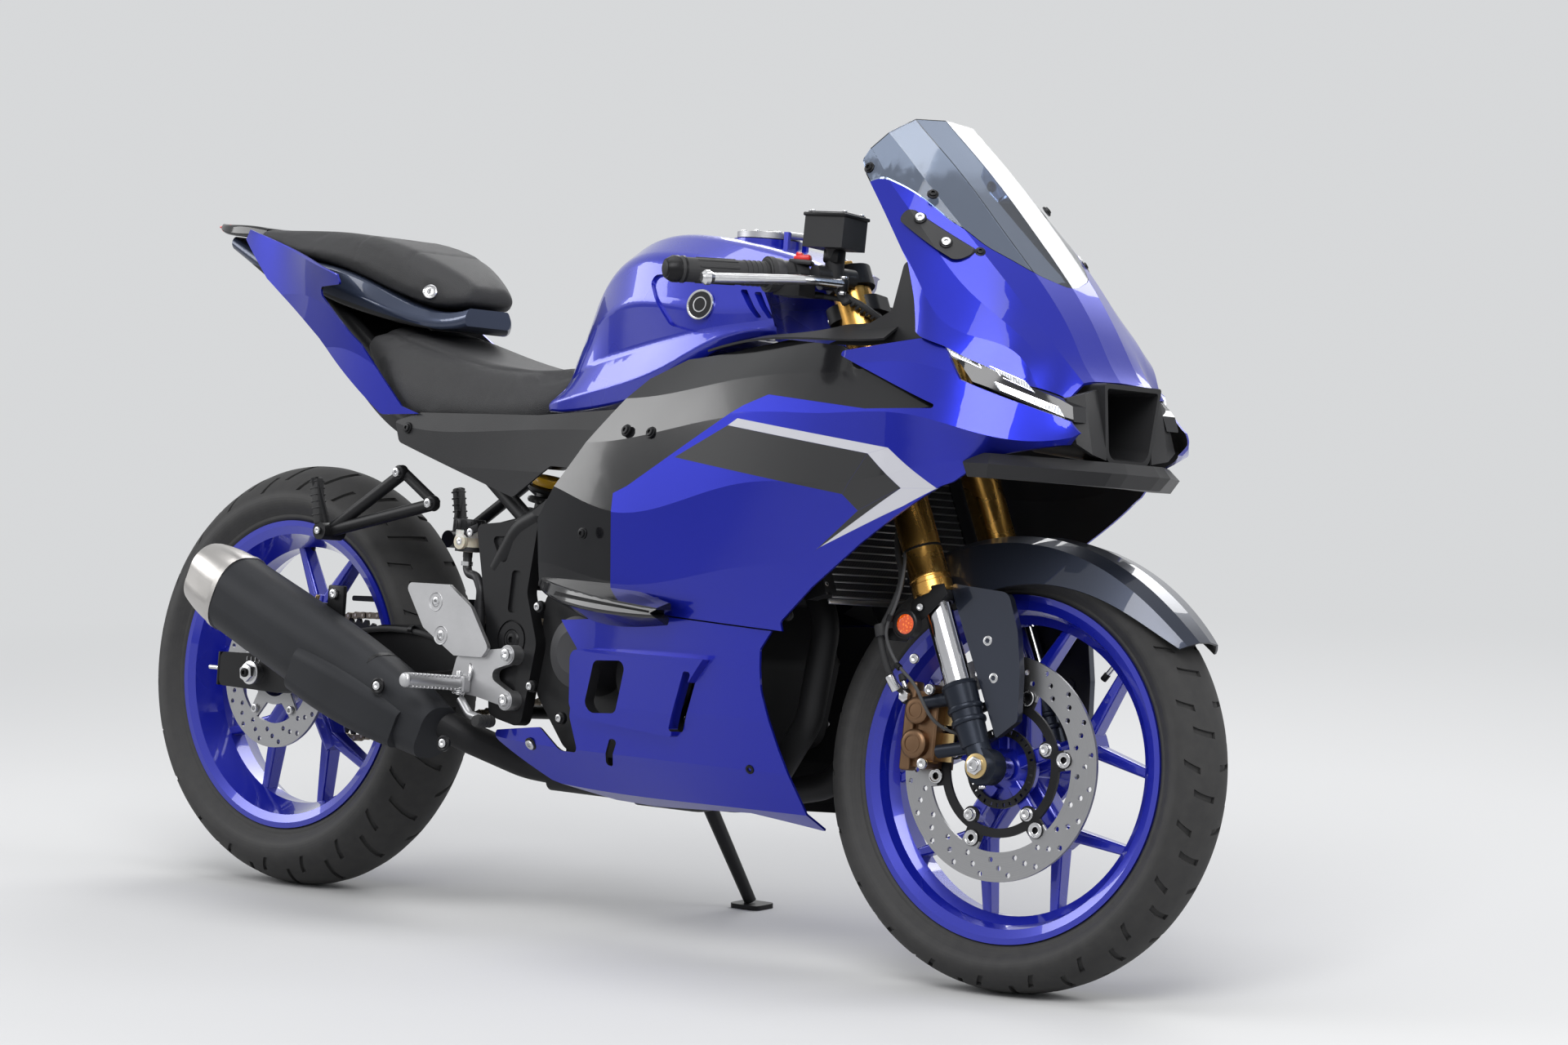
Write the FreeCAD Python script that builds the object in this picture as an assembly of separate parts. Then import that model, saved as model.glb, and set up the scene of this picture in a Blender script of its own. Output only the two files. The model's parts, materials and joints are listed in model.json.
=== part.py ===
"""Lightweight sport bike, parked on its side stand, as an assembly of separate solids.

Every piece is drawn on the upright machine, in millimetres: X forward, Y to the left, Z up,
X = 0 midway between the axles and Z = 0 at the ground. The fork, bars and front wheel are
drawn pointing straight ahead. At the end the front end is turned by STEER about the steering
axis, the whole machine leans by LEAN onto its stand, and the row's origin is put under the
middle of its bounding box. One STEP file is written per named piece.
"""
import FreeCAD
import Part
import math
import os

V = FreeCAD.Vector
ORIGIN = V(0, 0, 0)

# ---------------------------------------------------------------- driving dimensions, mm
WHEELBASE = 1380.0
FRONT_X, REAR_X = WHEELBASE / 2, -WHEELBASE / 2
FRONT_R, REAR_R = 293.0, 314.0            # 110/70-17 and 140/70-17 tyres
RAKE = 25.0                               # steering axis from the vertical, degrees
TRAIL = 95.0
STEER = 6.5                               # bars turned to the left as parked, degrees
LEAN = 7.0                                # lean to the left on the side stand, degrees
PANEL = 3.5                               # thickness of a moulded fairing panel
FORK_Y = 98.0                             # fork leg centre from the middle plane
FORK_X0, FORK_Z0 = 585.0, 504.0           # a point on the fork leg's centre line
PIVOT_X, PIVOT_Z = -142.0, 402.0          # swingarm pivot
AXLE_GAP = 0.05                           # running clearance round an axle

RAKE_TAN = math.tan(math.radians(RAKE))
STEER_FOOT = V(FRONT_X + TRAIL, 0, 0)     # where the steering axis meets the ground
STEER_DIR = V(-math.sin(math.radians(RAKE)), 0, math.cos(math.radians(RAKE)))


# ---------------------------------------------------------------- drawing tools
def side(y):
    """(x, z) rows on a plane at this y."""
    return lambda u, v: V(u, y, v)


def cross(x):
    """(y, z) rows on a plane at this x."""
    return lambda u, v: V(x, u, v)


def plan(z):
    """(x, y) rows on a plane at this z."""
    return lambda u, v: V(u, v, z)


def wire(rows, at):
    """Closed wire through (u, v) or (u, v, corner radius) rows, laid out by at()."""
    points = [V(r[0], r[1], 0) for r in rows]
    radii = [r[2] if len(r) > 2 else 0 for r in rows]
    runs = []
    for i, p in enumerate(points):
        before, after = points[i - 1], points[(i + 1) % len(points)]
        if not radii[i]:
            runs.append((p, None, p))
            continue
        room = 0.45 * min((before - p).Length, (after - p).Length)
        a, b = (before - p).normalize(), (after - p).normalize()
        half = a.getAngle(b) / 2
        reach = min(radii[i] / math.tan(half), room)
        radius = reach * math.tan(half)
        middle = (a + b).normalize() * (radius / math.sin(half) - radius)
        runs.append((p + a * reach, p + middle, p + b * reach))
    edges = []
    for i, (start, mid, end) in enumerate(runs):
        if mid is not None:
            edges.append(Part.Arc(at(start.x, start.y), at(mid.x, mid.y), at(end.x, end.y)).toShape())
        nxt = runs[(i + 1) % len(runs)][0]
        if (nxt - end).Length > 1e-6:
            edges.append(Part.makeLine(at(end.x, end.y), at(nxt.x, nxt.y)))
    return Part.Wire(edges)


def slab(rows, y0, y1):
    """An (x, z) outline given thickness from y0 to y1."""
    return Part.Face(wire(rows, side(y0))).extrude(V(0, y1 - y0, 0))


def plate(rows, z0, z1):
    """An (x, y) outline given thickness from z0 to z1."""
    return Part.Face(wire(rows, plan(z0))).extrude(V(0, 0, z1 - z0))


def rod(a, b, r, r_end=None):
    """Round bar from a to b, tapering to r_end."""
    a, b = V(*a), V(*b)
    if r_end is None:
        return Part.makeCylinder(r, (b - a).Length, a, b - a)
    return Part.makeCone(r, r_end, (b - a).Length, a, b - a)


def across(x, z, r, y0, y1):
    """Round bar along Y."""
    return Part.makeCylinder(r, y1 - y0, V(x, y0, z), V(0, 1, 0))


def block(x0, x1, y0, y1, z0, z1):
    return Part.makeBox(x1 - x0, y1 - y0, z1 - z0, V(x0, y0, z0))


def path(points, bends):
    """Open wire of straight runs joined by arcs, one radius in bends for each inner point."""
    points = [V(*p) for p in points]
    edges, start = [], points[0]
    for i in range(1, len(points) - 1):
        p = points[i]
        a, b = (points[i - 1] - p).normalize(), (points[i + 1] - p).normalize()
        half = a.getAngle(b) / 2
        radius = bends[i - 1]
        reach = radius / math.tan(half)
        room = 0.48 * min((points[i - 1] - p).Length, (points[i + 1] - p).Length)
        if reach > room:
            radius, reach = radius * room / reach, room
        middle = (a + b).normalize() * (radius / math.sin(half) - radius)
        edges.append(Part.makeLine(start, p + a * reach))
        edges.append(Part.Arc(p + a * reach, p + middle, p + b * reach).toShape())
        start = p + b * reach
    edges.append(Part.makeLine(start, points[-1]))
    return Part.Wire(edges)


def tube(points, r, bend):
    """Round bar along straight runs and arcs of one radius."""
    return tube_bends(points, r, [bend] * (len(points) - 2))


def tube_bends(points, r, bends):
    """Round bar along straight runs and an arc of its own radius at each inner point."""
    line = path(points, bends)
    first, second = V(*points[0]), V(*points[1])
    ring = Part.Wire(Part.makeCircle(r, first, second - first))
    return line.makePipeShell([ring], True, False)


def turned(rows, x, z):
    """Solid of revolution about the Y axis through (x, z) from (y, radius) rows."""
    face = Part.Face(wire(rows, lambda y, r: V(x, y, z + r)))
    return face.revolve(V(x, 0, z), V(0, 1, 0), 360)


def loft(sections):
    """Smooth solid through closed wires."""
    return Part.makeLoft(sections, True, False)


def mirrored(shape):
    return shape.mirror(ORIGIN, V(0, 1, 0))


def pair(shape):
    """The piece and its mirror image on the other side, as two solids."""
    return Part.makeCompound([shape, mirrored(shape)])


def fused(*shapes):
    return shapes[0].multiFuse(list(shapes[1:])).removeSplitter()


def without(shape, *tools):
    return shape.cut(list(tools))


def offset_rows(rows, t):
    """The open line of (u, v) rows moved by t to its right-hand side."""
    moved = []
    for i, p in enumerate(rows):
        before = rows[max(i - 1, 0)]
        after = rows[min(i + 1, len(rows) - 1)]
        normals = []
        for a, b in ((before, p), (p, after)):
            d = V(b[0] - a[0], b[1] - a[1], 0)
            if d.Length > 1e-9:
                d.normalize()
                normals.append(V(d.y, -d.x, 0))
        n = sum(normals[1:], normals[0])
        n = n * (1 / n.Length)
        reach = t / n.dot(normals[0])
        moved.append((p[0] + n.x * reach, p[1] + n.y * reach))
    return moved


def skin(table, t, out=0.0):
    """Moulded panel t thick: smooth along X through a table of (x, [(y, z), ...] top to bottom).

    out moves the whole panel outwards. The rows are for the left side, y positive.
    """
    sections = []
    for x, rows in table:
        outer = offset_rows(rows, -out)
        inner = offset_rows(outer, t)
        sections.append(wire(outer + inner[::-1], cross(x)))
    return loft(sections)


def body(table, radii):
    """Solid symmetrical body through a table of (x, [(half width, z), ...] top to bottom)."""
    sections = []
    for x, rows in table:
        rows = [(y, z, r) for (y, z), r in zip(rows, radii)]
        sections.append(wire(rows + [(-y, z, r) for y, z, r in rows[::-1]], cross(x)))
    return loft(sections)


def fork_x(z):
    """X of the fork leg's centre line at height z."""
    return FORK_X0 - (z - FORK_Z0) * RAKE_TAN


def fork_point(z, y, ahead=0.0):
    """A point at height z on the fork leg, or ahead of it square to the leg."""
    c, s = math.cos(math.radians(RAKE)), math.sin(math.radians(RAKE))
    return (fork_x(z) + ahead * c, y, z + ahead * s)


# ---------------------------------------------------------------- wheels
# Half profiles as (y, radius) rows from the bead outwards.
FRONT_WHEEL = dict(x=FRONT_X, r=FRONT_R, flange=41.0,
                   tread=[(36, 230), (55, 254), (50, 273), (30, 289), (0, FRONT_R)],
                   phase=24.0, fork=20.5, hub=(30.0, 48.0), bore=9.0)
REAR_WHEEL = dict(x=REAR_X, r=REAR_R, flange=57.0,
                  tread=[(52, 230), (71, 256), (64, 281), (38, 306), (0, REAR_R)],
                  phase=12.0, fork=17.5, hub=(34.0, 58.0), bore=10.0)
RIM_SEAT, RIM_WELL = 217.0, 200.0
SPOKES = 5


def tyre(w):
    half = w["tread"]
    seat = half[0][0] - 2
    rows = half + [(-y, r) for y, r in half[-2::-1]]
    rows += [(-seat, RIM_SEAT), (seat, RIM_SEAT)]
    return turned(rows, w["x"], w["r"])


def beam(a, b, wide_a, wide_b, thick_a, thick_b, x, z):
    """Cast spoke between polar points (radius, degrees) of a wheel, tapering in width and depth."""
    ends = []
    pts = [V(x + r * math.cos(math.radians(t)), 0, z + r * math.sin(math.radians(t))) for r, t in (a, b)]
    along = (pts[1] - pts[0]).normalize()
    sideways = V(-along.z, 0, along.x)
    for p, wide, thick in zip(pts, (wide_a, wide_b), (thick_a, thick_b)):
        corner = min(wide, thick) * 0.28
        ends.append(wire([(wide / 2, thick / 2, corner), (-wide / 2, thick / 2, corner),
                          (-wide / 2, -thick / 2, corner), (wide / 2, -thick / 2, corner)],
                         lambda u, v, p=p: p + sideways * u + V(0, v, 0)))
    return Part.makeLoft(ends, True, True)


def rim(w):
    f = w["flange"]
    seat = w["tread"][0][0] - 2
    outer = [(-f, 230), (-seat - 2, 230), (-seat, RIM_SEAT), (-seat + 16, RIM_SEAT - 3), (-16, RIM_WELL),
             (16, RIM_WELL), (seat - 16, RIM_SEAT - 3), (seat, RIM_SEAT), (seat + 2, 230), (f, 230)]
    inner = [(f, 222), (f - 5, 210), (f - 18, 204), (14, RIM_WELL - 8),
             (-14, RIM_WELL - 8), (-f + 18, 204), (-f + 5, 210), (-f, 222)]
    ring = turned(outer + inner, w["x"], w["r"])
    hub_r, hub_y = w["hub"]
    hub = turned([(-hub_y, 46), (-hub_y + 8, 46), (-hub_y + 18, hub_r), (hub_y - 18, hub_r), (hub_y - 8, 46),
                  (hub_y, 46), (hub_y, w["bore"] + AXLE_GAP), (-hub_y, w["bore"] + AXLE_GAP)], w["x"], w["r"])
    spokes = []
    for i in range(SPOKES):
        t = w["phase"] + i * 360 / SPOKES
        spokes.append(beam((hub_r - 6, t), (122, t), 34, 27, 44, 32, w["x"], w["r"]))
        for sign in (-1, 1):
            spokes.append(beam((104, t + sign * 2.5), (RIM_WELL - 5, t + sign * w["fork"]), 19, 13, 30, 24,
                               w["x"], w["r"]))
    return fused(ring, hub, *spokes)


def disc(x, z, y, thick, r_out, r_in, rows, count):
    """Brake disc with rows of drilled holes, each row a (radius, angle offset) pair."""
    ring = turned([(y, r_in), (y + thick, r_in), (y + thick, r_out), (y, r_out)], x, z)
    holes = []
    for radius, shift in rows:
        for i in range(count):
            t = math.radians(shift + i * 360 / count)
            holes.append(across(x + radius * math.cos(t), z + radius * math.sin(t), 3.6, y - 1, y + thick + 1))
    return without(ring, *holes)


FRONT_DISC_Y, FRONT_DISC_R = -64.0, 149.0
REAR_DISC_Y, REAR_DISC_R = -80.0, 110.0
SENSOR_SLOTS = 30                         # slots of the wheel speed ring
BOBBINS, BOBBIN_R, BOBBIN_PHASE = 6, 100.0, 11.0
LUGS, LUG_R, LUG_PHASE = 5, 75.0, 23.5    # wheel lugs that the disc carrier bolts to


def polar(radius, degrees, x=FRONT_X, z=FRONT_R):
    """X and Z of a point at this radius and angle from a wheel's centre."""
    t = math.radians(degrees)
    return x + radius * math.cos(t), z + radius * math.sin(t)


def arms(inner, outer, count, phase, wide, thick, y):
    """Straight arms between two radii of the front wheel, evenly spaced."""
    return [beam((inner, phase + i * 360 / count), (outer, phase + i * 360 / count), wide, wide, thick, thick,
                 FRONT_X, FRONT_R).translated(V(0, y, 0)) for i in range(count)]


def front_disc():
    """Floating disc: drilled braking ring with six inner lugs, each half round its bobbin."""
    y, thick = FRONT_DISC_Y, 4.5
    ring = disc(FRONT_X, FRONT_R, y, thick, FRONT_DISC_R, 110, [(120, 0), (131, 6), (141, 12)], 20)
    lugs = arms(BOBBIN_R + 0.1, 112, BOBBINS, BOBBIN_PHASE, 27, thick, y + thick / 2)
    seats = [polar(BOBBIN_R, BOBBIN_PHASE + i * 360 / BOBBINS) for i in range(BOBBINS)]
    notches = [across(sx, sz, 8.6, y - 2, y + 8) for sx, sz in seats]
    return without(fused(ring, *lugs), *notches)


def front_disc_carrier():
    """Black ring bolted to the wheel's lugs, with the six bobbins that hold the floating disc."""
    y, thick = FRONT_DISC_Y, 4.5
    ring = turned([(y, 79), (y + thick, 79), (y + thick, 91), (y, 91)], FRONT_X, FRONT_R)
    lobes = arms(88, BOBBIN_R - 0.1, BOBBINS, BOBBIN_PHASE, 27, thick, y + thick / 2)
    ears = [across(*polar(LUG_R, LUG_PHASE + i * 360 / LUGS), 11.5, y, y + thick) for i in range(LUGS)]
    holes = [across(*polar(LUG_R, LUG_PHASE + i * 360 / LUGS), 4, y - 1, y + 8) for i in range(LUGS)]
    bobbins = []
    for i in range(BOBBINS):
        at = polar(BOBBIN_R, BOBBIN_PHASE + i * 360 / BOBBINS)
        bobbins += [across(*at, 8.5, y - 1, y + thick + 1), across(*at, 11, y - 1.8, y - 0.1)]
        holes.append(across(*at, 4.5, y - 3, y + 8))
    return without(fused(ring, *lobes, *ears, *bobbins), *holes)


def speed_ring():
    """Slotted ring of the wheel speed sensor on the front hub's flank."""
    ring = turned([(-62, 42), (-47.5, 42), (-47.5, 45), (-58, 45), (-58, 53), (-62, 53)], FRONT_X, FRONT_R)
    slots = [block(FRONT_X - 1.6, FRONT_X + 1.6, -63, -57, FRONT_R + 46, FRONT_R + 51)
             .rotated(V(FRONT_X, 0, FRONT_R), V(0, 1, 0), i * 360 / SENSOR_SLOTS) for i in range(SENSOR_SLOTS)]
    return without(ring, *slots)


def front_rim():
    """Front wheel casting with the five lugs that carry the disc."""
    lugs = [across(*polar(LUG_R, LUG_PHASE + i * 360 / LUGS), 11, -59.4, -44) for i in range(LUGS)]
    hub_arms = arms(26, LUG_R + 2, LUGS, LUG_PHASE, 19, 13, -50.5)
    bore = across(FRONT_X, FRONT_R, FRONT_WHEEL["bore"] + AXLE_GAP, -60, 60)
    return without(fused(rim(FRONT_WHEEL), *lugs, *hub_arms), bore)


def rear_disc():
    ring = disc(REAR_X, REAR_R, REAR_DISC_Y, 5, REAR_DISC_R, 74, [(84, 0), (93, 8), (102, 16)], 15)
    spider = [turned([(REAR_DISC_Y, 34), (-58, 34), (-58, 46), (REAR_DISC_Y, 46)], REAR_X, REAR_R)]
    for i in range(5):
        spider.append(beam((42, i * 72 + 20), (77, i * 72 + 20), 26, 18, 5, 5, REAR_X, REAR_R)
                      .translated(V(0, REAR_DISC_Y + 2.5, 0)))
    return fused(ring, *spider)


# ---------------------------------------------------------------- final drive
SPROCKET_Y, SPROCKET_TIP = 86.0, 88.0
DRIVE_X, DRIVE_Z, DRIVE_R = PIVOT_X + 82, PIVOT_Z - 4, 36.0
CHAIN_R = 93.0


def rear_sprocket():
    teeth = 32
    rows = []
    for i in range(teeth):
        for share, drop in ((0.0, 0), (0.3, 0), (0.5, 6), (0.8, 6)):
            r = SPROCKET_TIP - drop
            t = (i + share) / teeth * 2 * math.pi
            rows.append((REAR_X + r * math.cos(t), REAR_R + r * math.sin(t)))
    wheel = slab(rows, SPROCKET_Y - 2.5, SPROCKET_Y + 2.5)
    windows = [across(REAR_X + 62 * math.cos(i * math.pi / 3), REAR_R + 62 * math.sin(i * math.pi / 3), 12,
                      SPROCKET_Y - 3, SPROCKET_Y + 3) for i in range(6)]
    windows.append(across(REAR_X, REAR_R, 12, SPROCKET_Y - 3, SPROCKET_Y + 3))
    carrier = turned([(58, 12), (SPROCKET_Y + 4, 12), (SPROCKET_Y + 4, 30), (SPROCKET_Y - 2.5, 44), (58, 48)],
                     REAR_X, REAR_R)
    return fused(without(wheel, *windows), carrier)


def chain_loop(offset):
    """The chain's line round both sprockets, offset outwards, as (x, z) points."""
    dx, dz = DRIVE_X - REAR_X, DRIVE_Z - REAR_R
    span, slope = math.hypot(dx, dz), math.atan2(dz, dx)
    open_angle = math.acos((CHAIN_R - DRIVE_R) / span)
    points = []
    for cx, cz, r, start, end in ((REAR_X, REAR_R, CHAIN_R, slope + open_angle, slope + 2 * math.pi - open_angle),
                                  (DRIVE_X, DRIVE_Z, DRIVE_R, slope - open_angle, slope + open_angle)):
        mid = (start + end) / 2
        points.append([V(cx + (r + offset) * math.cos(t), 0, cz + (r + offset) * math.sin(t))
                       for t in (start, mid, end)])
    (a, b, c), (d, e, f) = points
    return Part.Wire([Part.Arc(a, b, c).toShape(), Part.makeLine(c, d), Part.Arc(d, e, f).toShape(),
                      Part.makeLine(f, a)])


def drive_chain():
    """Two rows of link plates either side of the teeth, joined by square-set pins on the straight runs."""
    band = Part.Face(chain_loop(6)).cut(Part.Face(chain_loop(-6)))
    plates = [band.extrude(V(0, 3, 0)).translated(V(0, y, 0)) for y in (SPROCKET_Y - 7.5, SPROCKET_Y + 4.5)]
    loop = chain_loop(0)
    pins = []
    for edge in (loop.Edges[1], loop.Edges[3]):
        count = int(edge.Length // 60)
        for i in range(count + 1):
            at = edge.valueAt(edge.FirstParameter + edge.Length * (0.12 + 0.76 * i / count))
            pins.append(block(at.x - 4, at.x + 4, SPROCKET_Y - 6, SPROCKET_Y + 6, at.z - 4, at.z + 4))
    return fused(*plates, *pins)


# ---------------------------------------------------------------- fork, bars and front end
FORK_TOP_Z, GOLD_END_Z, CHROME_END_Z = 905.0, 510.0, 392.0
GOLD_R, CHROME_R, FOOT_R = 26.0, 18.5, 23.0
CLAMPS = ((872.0, 22.0), (700.0, 26.0))    # upper and lower clamp: height on the leg, thickness
STEM_R = 14.0


def clamp_frame(z):
    """Local frame of a clamp at leg height z: origin on the leg line, u along X-ish, v along Y."""
    c, s = math.cos(math.radians(RAKE)), math.sin(math.radians(RAKE))
    return lambda u, v: V(fork_x(z) + u * c, v, z + u * s)


def fork_outers():
    return pair(rod(fork_point(GOLD_END_Z, FORK_Y), fork_point(FORK_TOP_Z, FORK_Y), GOLD_R))


def fork_inners():
    return pair(rod(fork_point(CHROME_END_Z, FORK_Y), fork_point(GOLD_END_Z, FORK_Y), CHROME_R))


def fork_feet():
    """Cast lower legs with the axle eyes, and the caliper lugs on the right."""
    legs = []
    for sign in (-1, 1):
        y = sign * FORK_Y
        eye = across(FRONT_X, FRONT_R, 24, min(y - 13, y + 13), max(y - 13, y + 13))
        leg = rod(fork_point(318, y, 0), fork_point(CHROME_END_Z, y), 19, FOOT_R)
        neck = rod((FRONT_X, y, FRONT_R), fork_point(330, y), 17)
        parts = [leg, neck, eye]
        if sign < 0:
            for z in (368, 306):
                parts.append(rod(fork_point(z + 12, y), (fork_x(z) - 66, y + 4, z), 9))
        legs.append(without(fused(*parts), across(FRONT_X, FRONT_R, 9, y - 20, y + 20)))
    return Part.makeCompound(legs)


def front_axle():
    bar = across(FRONT_X, FRONT_R, 9, -FORK_Y - 18, FORK_Y + 18)
    spacers = [without(across(FRONT_X, FRONT_R, 15, y0, y1), across(FRONT_X, FRONT_R, 9, y0 - 1, y1 + 1))
               for y0, y1 in ((-FORK_Y + 13.2, -53), (53, FORK_Y - 13.2))]
    caps = [across(FRONT_X, FRONT_R, 15, y0, y1) for y0, y1 in ((-FORK_Y - 22, -FORK_Y - 13.2),
                                                             (FORK_Y + 13.2, FORK_Y + 22))]
    return fused(bar, *spacers, *caps)


def triple_clamps():
    clamps = []
    for z, thick in CLAMPS:
        at = clamp_frame(z)
        rows = [(34, FORK_Y + 8, 20), (30, 60, 16), (8, 34, 16), (8, -34, 16), (30, -60, 16),
                (34, -FORK_Y - 8, 20), (-34, -FORK_Y - 30, 20), (-62, -34, 16), (-62, 34, 16),
                (-34, FORK_Y + 30, 20)]
        clamps.append(Part.Face(wire(rows, at)).extrude(STEER_DIR * thick))
    low, high = (STEER_FOOT + STEER_DIR * (z / STEER_DIR.z) for z in (CLAMPS[1][0] - 22, CLAMPS[0][0] + 22))
    stem = Part.makeCylinder(STEM_R, (high - low).Length, low, STEER_DIR)
    pin_hole = Part.makeCylinder(8, (high - low).Length + 20, low - STEER_DIR * 10, STEER_DIR)
    legs = [rod(fork_point(600, s * FORK_Y), fork_point(940, s * FORK_Y), GOLD_R) for s in (-1, 1)]
    return without(fused(*clamps, stem), pin_hole, *legs)


BAR_ROOT, BAR_TIP = V(392, 122, 921), V(281, 335, 902)
BAR_R, GRIP_R = 11.0, 16.5


def along_bar(share):
    return BAR_ROOT + (BAR_TIP - BAR_ROOT) * share


def handlebars():
    """Clip-on bars: a clamp round each fork top and the bar that leaves it backwards."""
    bars = []
    bar = Part.makeCylinder(BAR_R, (BAR_TIP - BAR_ROOT).Length * 0.995, BAR_ROOT, BAR_TIP - BAR_ROOT)
    a = V(*fork_point(FORK_TOP_Z + 1, FORK_Y))
    clamp = Part.makeCylinder(33, 28, a, STEER_DIR)
    lug = rod(tuple(a + STEER_DIR * 14 + V(-4, 20, 0)), tuple(BAR_ROOT + V(-6, 10, -1)), 14)
    one = fused(clamp, lug, bar)
    return pair(one)


def grips():
    u = (BAR_TIP - BAR_ROOT).normalize()
    start = along_bar(0.42)
    grip = Part.makeCylinder(GRIP_R, (along_bar(0.965) - start).Length, start, u)
    flange = Part.makeCylinder(24, 7, start, u)
    end = Part.makeCone(18, 13, 22, along_bar(0.97), u)
    bore = Part.makeCylinder(BAR_R, (BAR_TIP - along_bar(0.3)).Length, along_bar(0.3), u)
    return pair(without(fused(grip, flange, end), bore))


def switch_pods():
    u = (BAR_TIP - BAR_ROOT).normalize()
    a = along_bar(0.22)
    hole = Part.makeCylinder(BAR_R, 300, along_bar(0.1), u)
    pod = fused(Part.makeCylinder(20, 46, a, u), block(a.x - 18, a.x + 24, a.y + 4, a.y + 40, a.z - 30, a.z))
    return pair(without(pod, hole))


def levers():
    """Cast lever blades from the pivot by the bar to a ball end in front of the grip."""
    pivot = along_bar(0.12) + V(42, 4, -8)
    knee = along_bar(0.38) + V(60, 6, -6)
    tip = along_bar(0.95) + V(50, 6, -10)
    blade = tube([tuple(pivot), tuple(knee), tuple(tip)], 6.5, 60)
    u = (tip - knee).normalize()
    ball = fused(Part.makeCone(6.5, 10, 6, tip - u * 3, u), Part.makeCylinder(10, 6, tip + u * 3, u),
                 Part.makeCone(10, 6, 5, tip + u * 9, u))
    return pair(fused(blade, ball))


def brake_reservoir():
    """Front brake master cylinder with its square reservoir, on the right bar."""
    a = along_bar(0.10)
    right = V(a.x, -a.y, a.z)
    body_ = block(right.x - 6, right.x + 58, right.y - 46, right.y + 8, right.z + 36, right.z + 78)
    neck = rod((right.x + 26, right.y - 10, right.z - 2), (right.x + 26, right.y - 16, right.z + 40), 13)
    cylinder = rod((right.x + 34, right.y + 22, right.z + 2), (right.x + 14, right.y - 40, right.z + 0), 12)
    u = (BAR_TIP - BAR_ROOT).normalize()
    u_right, root_right = V(u.x, -u.y, u.z), V(BAR_ROOT.x, -BAR_ROOT.y, BAR_ROOT.z)
    bar = Part.makeCylinder(BAR_R, 120, root_right - u_right * 10, u_right)
    grip_clamp = Part.makeCylinder(17, 16, root_right + u_right * 12, u_right)
    return without(fused(body_, neck, cylinder, grip_clamp), bar)


def front_fender():
    """Mudguard over the tyre, a blade behind and down to the fork foot on each side."""
    table = []
    # angle round the wheel, lift over the tyre, half widths of the crown and of the edge, drop of the edge
    for t, lift, w_top, w_side, drop in ((127, 19, 62, 74, 40), (112, 18, 66, 82, 70), (95, 17, 66, 84, 62),
                                         (70, 18, 62, 76, 40), (50, 22, 54, 64, 24), (36, 30, 38, 46, 8)):
        a = math.radians(t)
        r = FRONT_R + lift
        radial = V(math.cos(a), 0, math.sin(a))
        centre = V(FRONT_X, 0, FRONT_R)
        rows = [(0.0, 0.0), (w_top * 0.6, -3.0), (w_top, -14.0), (w_side, -14.0 - drop)]
        half = [(u, v) for u, v in rows]
        outer = [(-u, v) for u, v in half[::-1]][:-1] + half
        inner = offset_rows(outer, 3.0)
        at = lambda u, v, r=r, radial=radial, centre=centre: centre + radial * (r + v) + V(0, u, 0)
        table.append(wire(outer + inner[::-1], at))
    return loft(table)


def fender_stays():
    """Side blades of the mudguard that bolt to the fork feet."""
    rows = [(600, 528, 6), (694, 522, 16), (714, 474, 60), (724, 420, 60), (728, 356, 8), (697, 331, 3)]
    blade = slab(rows, 80.4, 92.0)
    hollow = slab([(606, 530, 4), (690, 526, 14), (708, 474, 60), (718, 420, 60), (722, 358, 6), (700, 340, 3)],
                  79, 88.6)
    seats = [without(across(x, z, 13, 84, 92), across(x, z, 11, 86, 93)) for x, z in ((669, 457), (684, 409))]
    return pair(fused(without(blade, hollow), *seats))


HOSE_R = 4.5
HOSE_ROUTE = [(404, -146, 912), (414, -142, 898), (440, -124, 884), (463, -92, 862), (486, -66, 812),
              (530, -58, 742), (550, -56, 682), (522, -58, 640), (499, -74, 605), (518, -104, 570),
              (546, -121, 526), (537, -128, 486), (522, -128, 456), (528, -124, 426), (537, -118, 402),
              (543, -107, 385), (553, -92, 375)]


def brake_hose():
    """Front brake hose from the master cylinder, down behind the leg and round the reflector to the caliper."""
    bends, points = [], [V(*p) for p in HOSE_ROUTE]
    for before, p, after in zip(points, points[1:], points[2:]):
        turn = math.radians(180) - (before - p).getAngle(after - p)
        bends.append(0.45 * min((before - p).Length, (after - p).Length) / math.tan(turn / 2))
    print("brake hose bend radii", [round(b) for b in bends])
    return tube_bends(HOSE_ROUTE, HOSE_R, bends)


def front_caliper():
    """Two-piston sliding caliper astride the disc, behind the fork foot."""
    x, z = FRONT_X - 118, FRONT_R + 42
    body_ = fused(block(x - 22, x + 30, FRONT_DISC_Y - 26, FRONT_DISC_Y + 22, z - 52, z + 48),
                  across(x + 2, z + 22, 18, FRONT_DISC_Y - 34, FRONT_DISC_Y - 10),
                  across(x + 2, z - 22, 18, FRONT_DISC_Y - 34, FRONT_DISC_Y - 10))
    gap = turned([(FRONT_DISC_Y - 5, 70), (FRONT_DISC_Y + 10, 70), (FRONT_DISC_Y + 10, FRONT_DISC_R + 5),
                  (FRONT_DISC_Y - 5, FRONT_DISC_R + 5)], FRONT_X, FRONT_R)
    return without(body_, gap)


def reflectors():
    """Round side reflectors behind the fork legs."""
    return pair(across(fork_x(455) - 44, 468, 17, -FORK_Y - 34, -FORK_Y - 22))


# ---------------------------------------------------------------- frame, engine and running gear
HEAD_LOW_Z, HEAD_HIGH_Z = 735.0, 850.0


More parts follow.
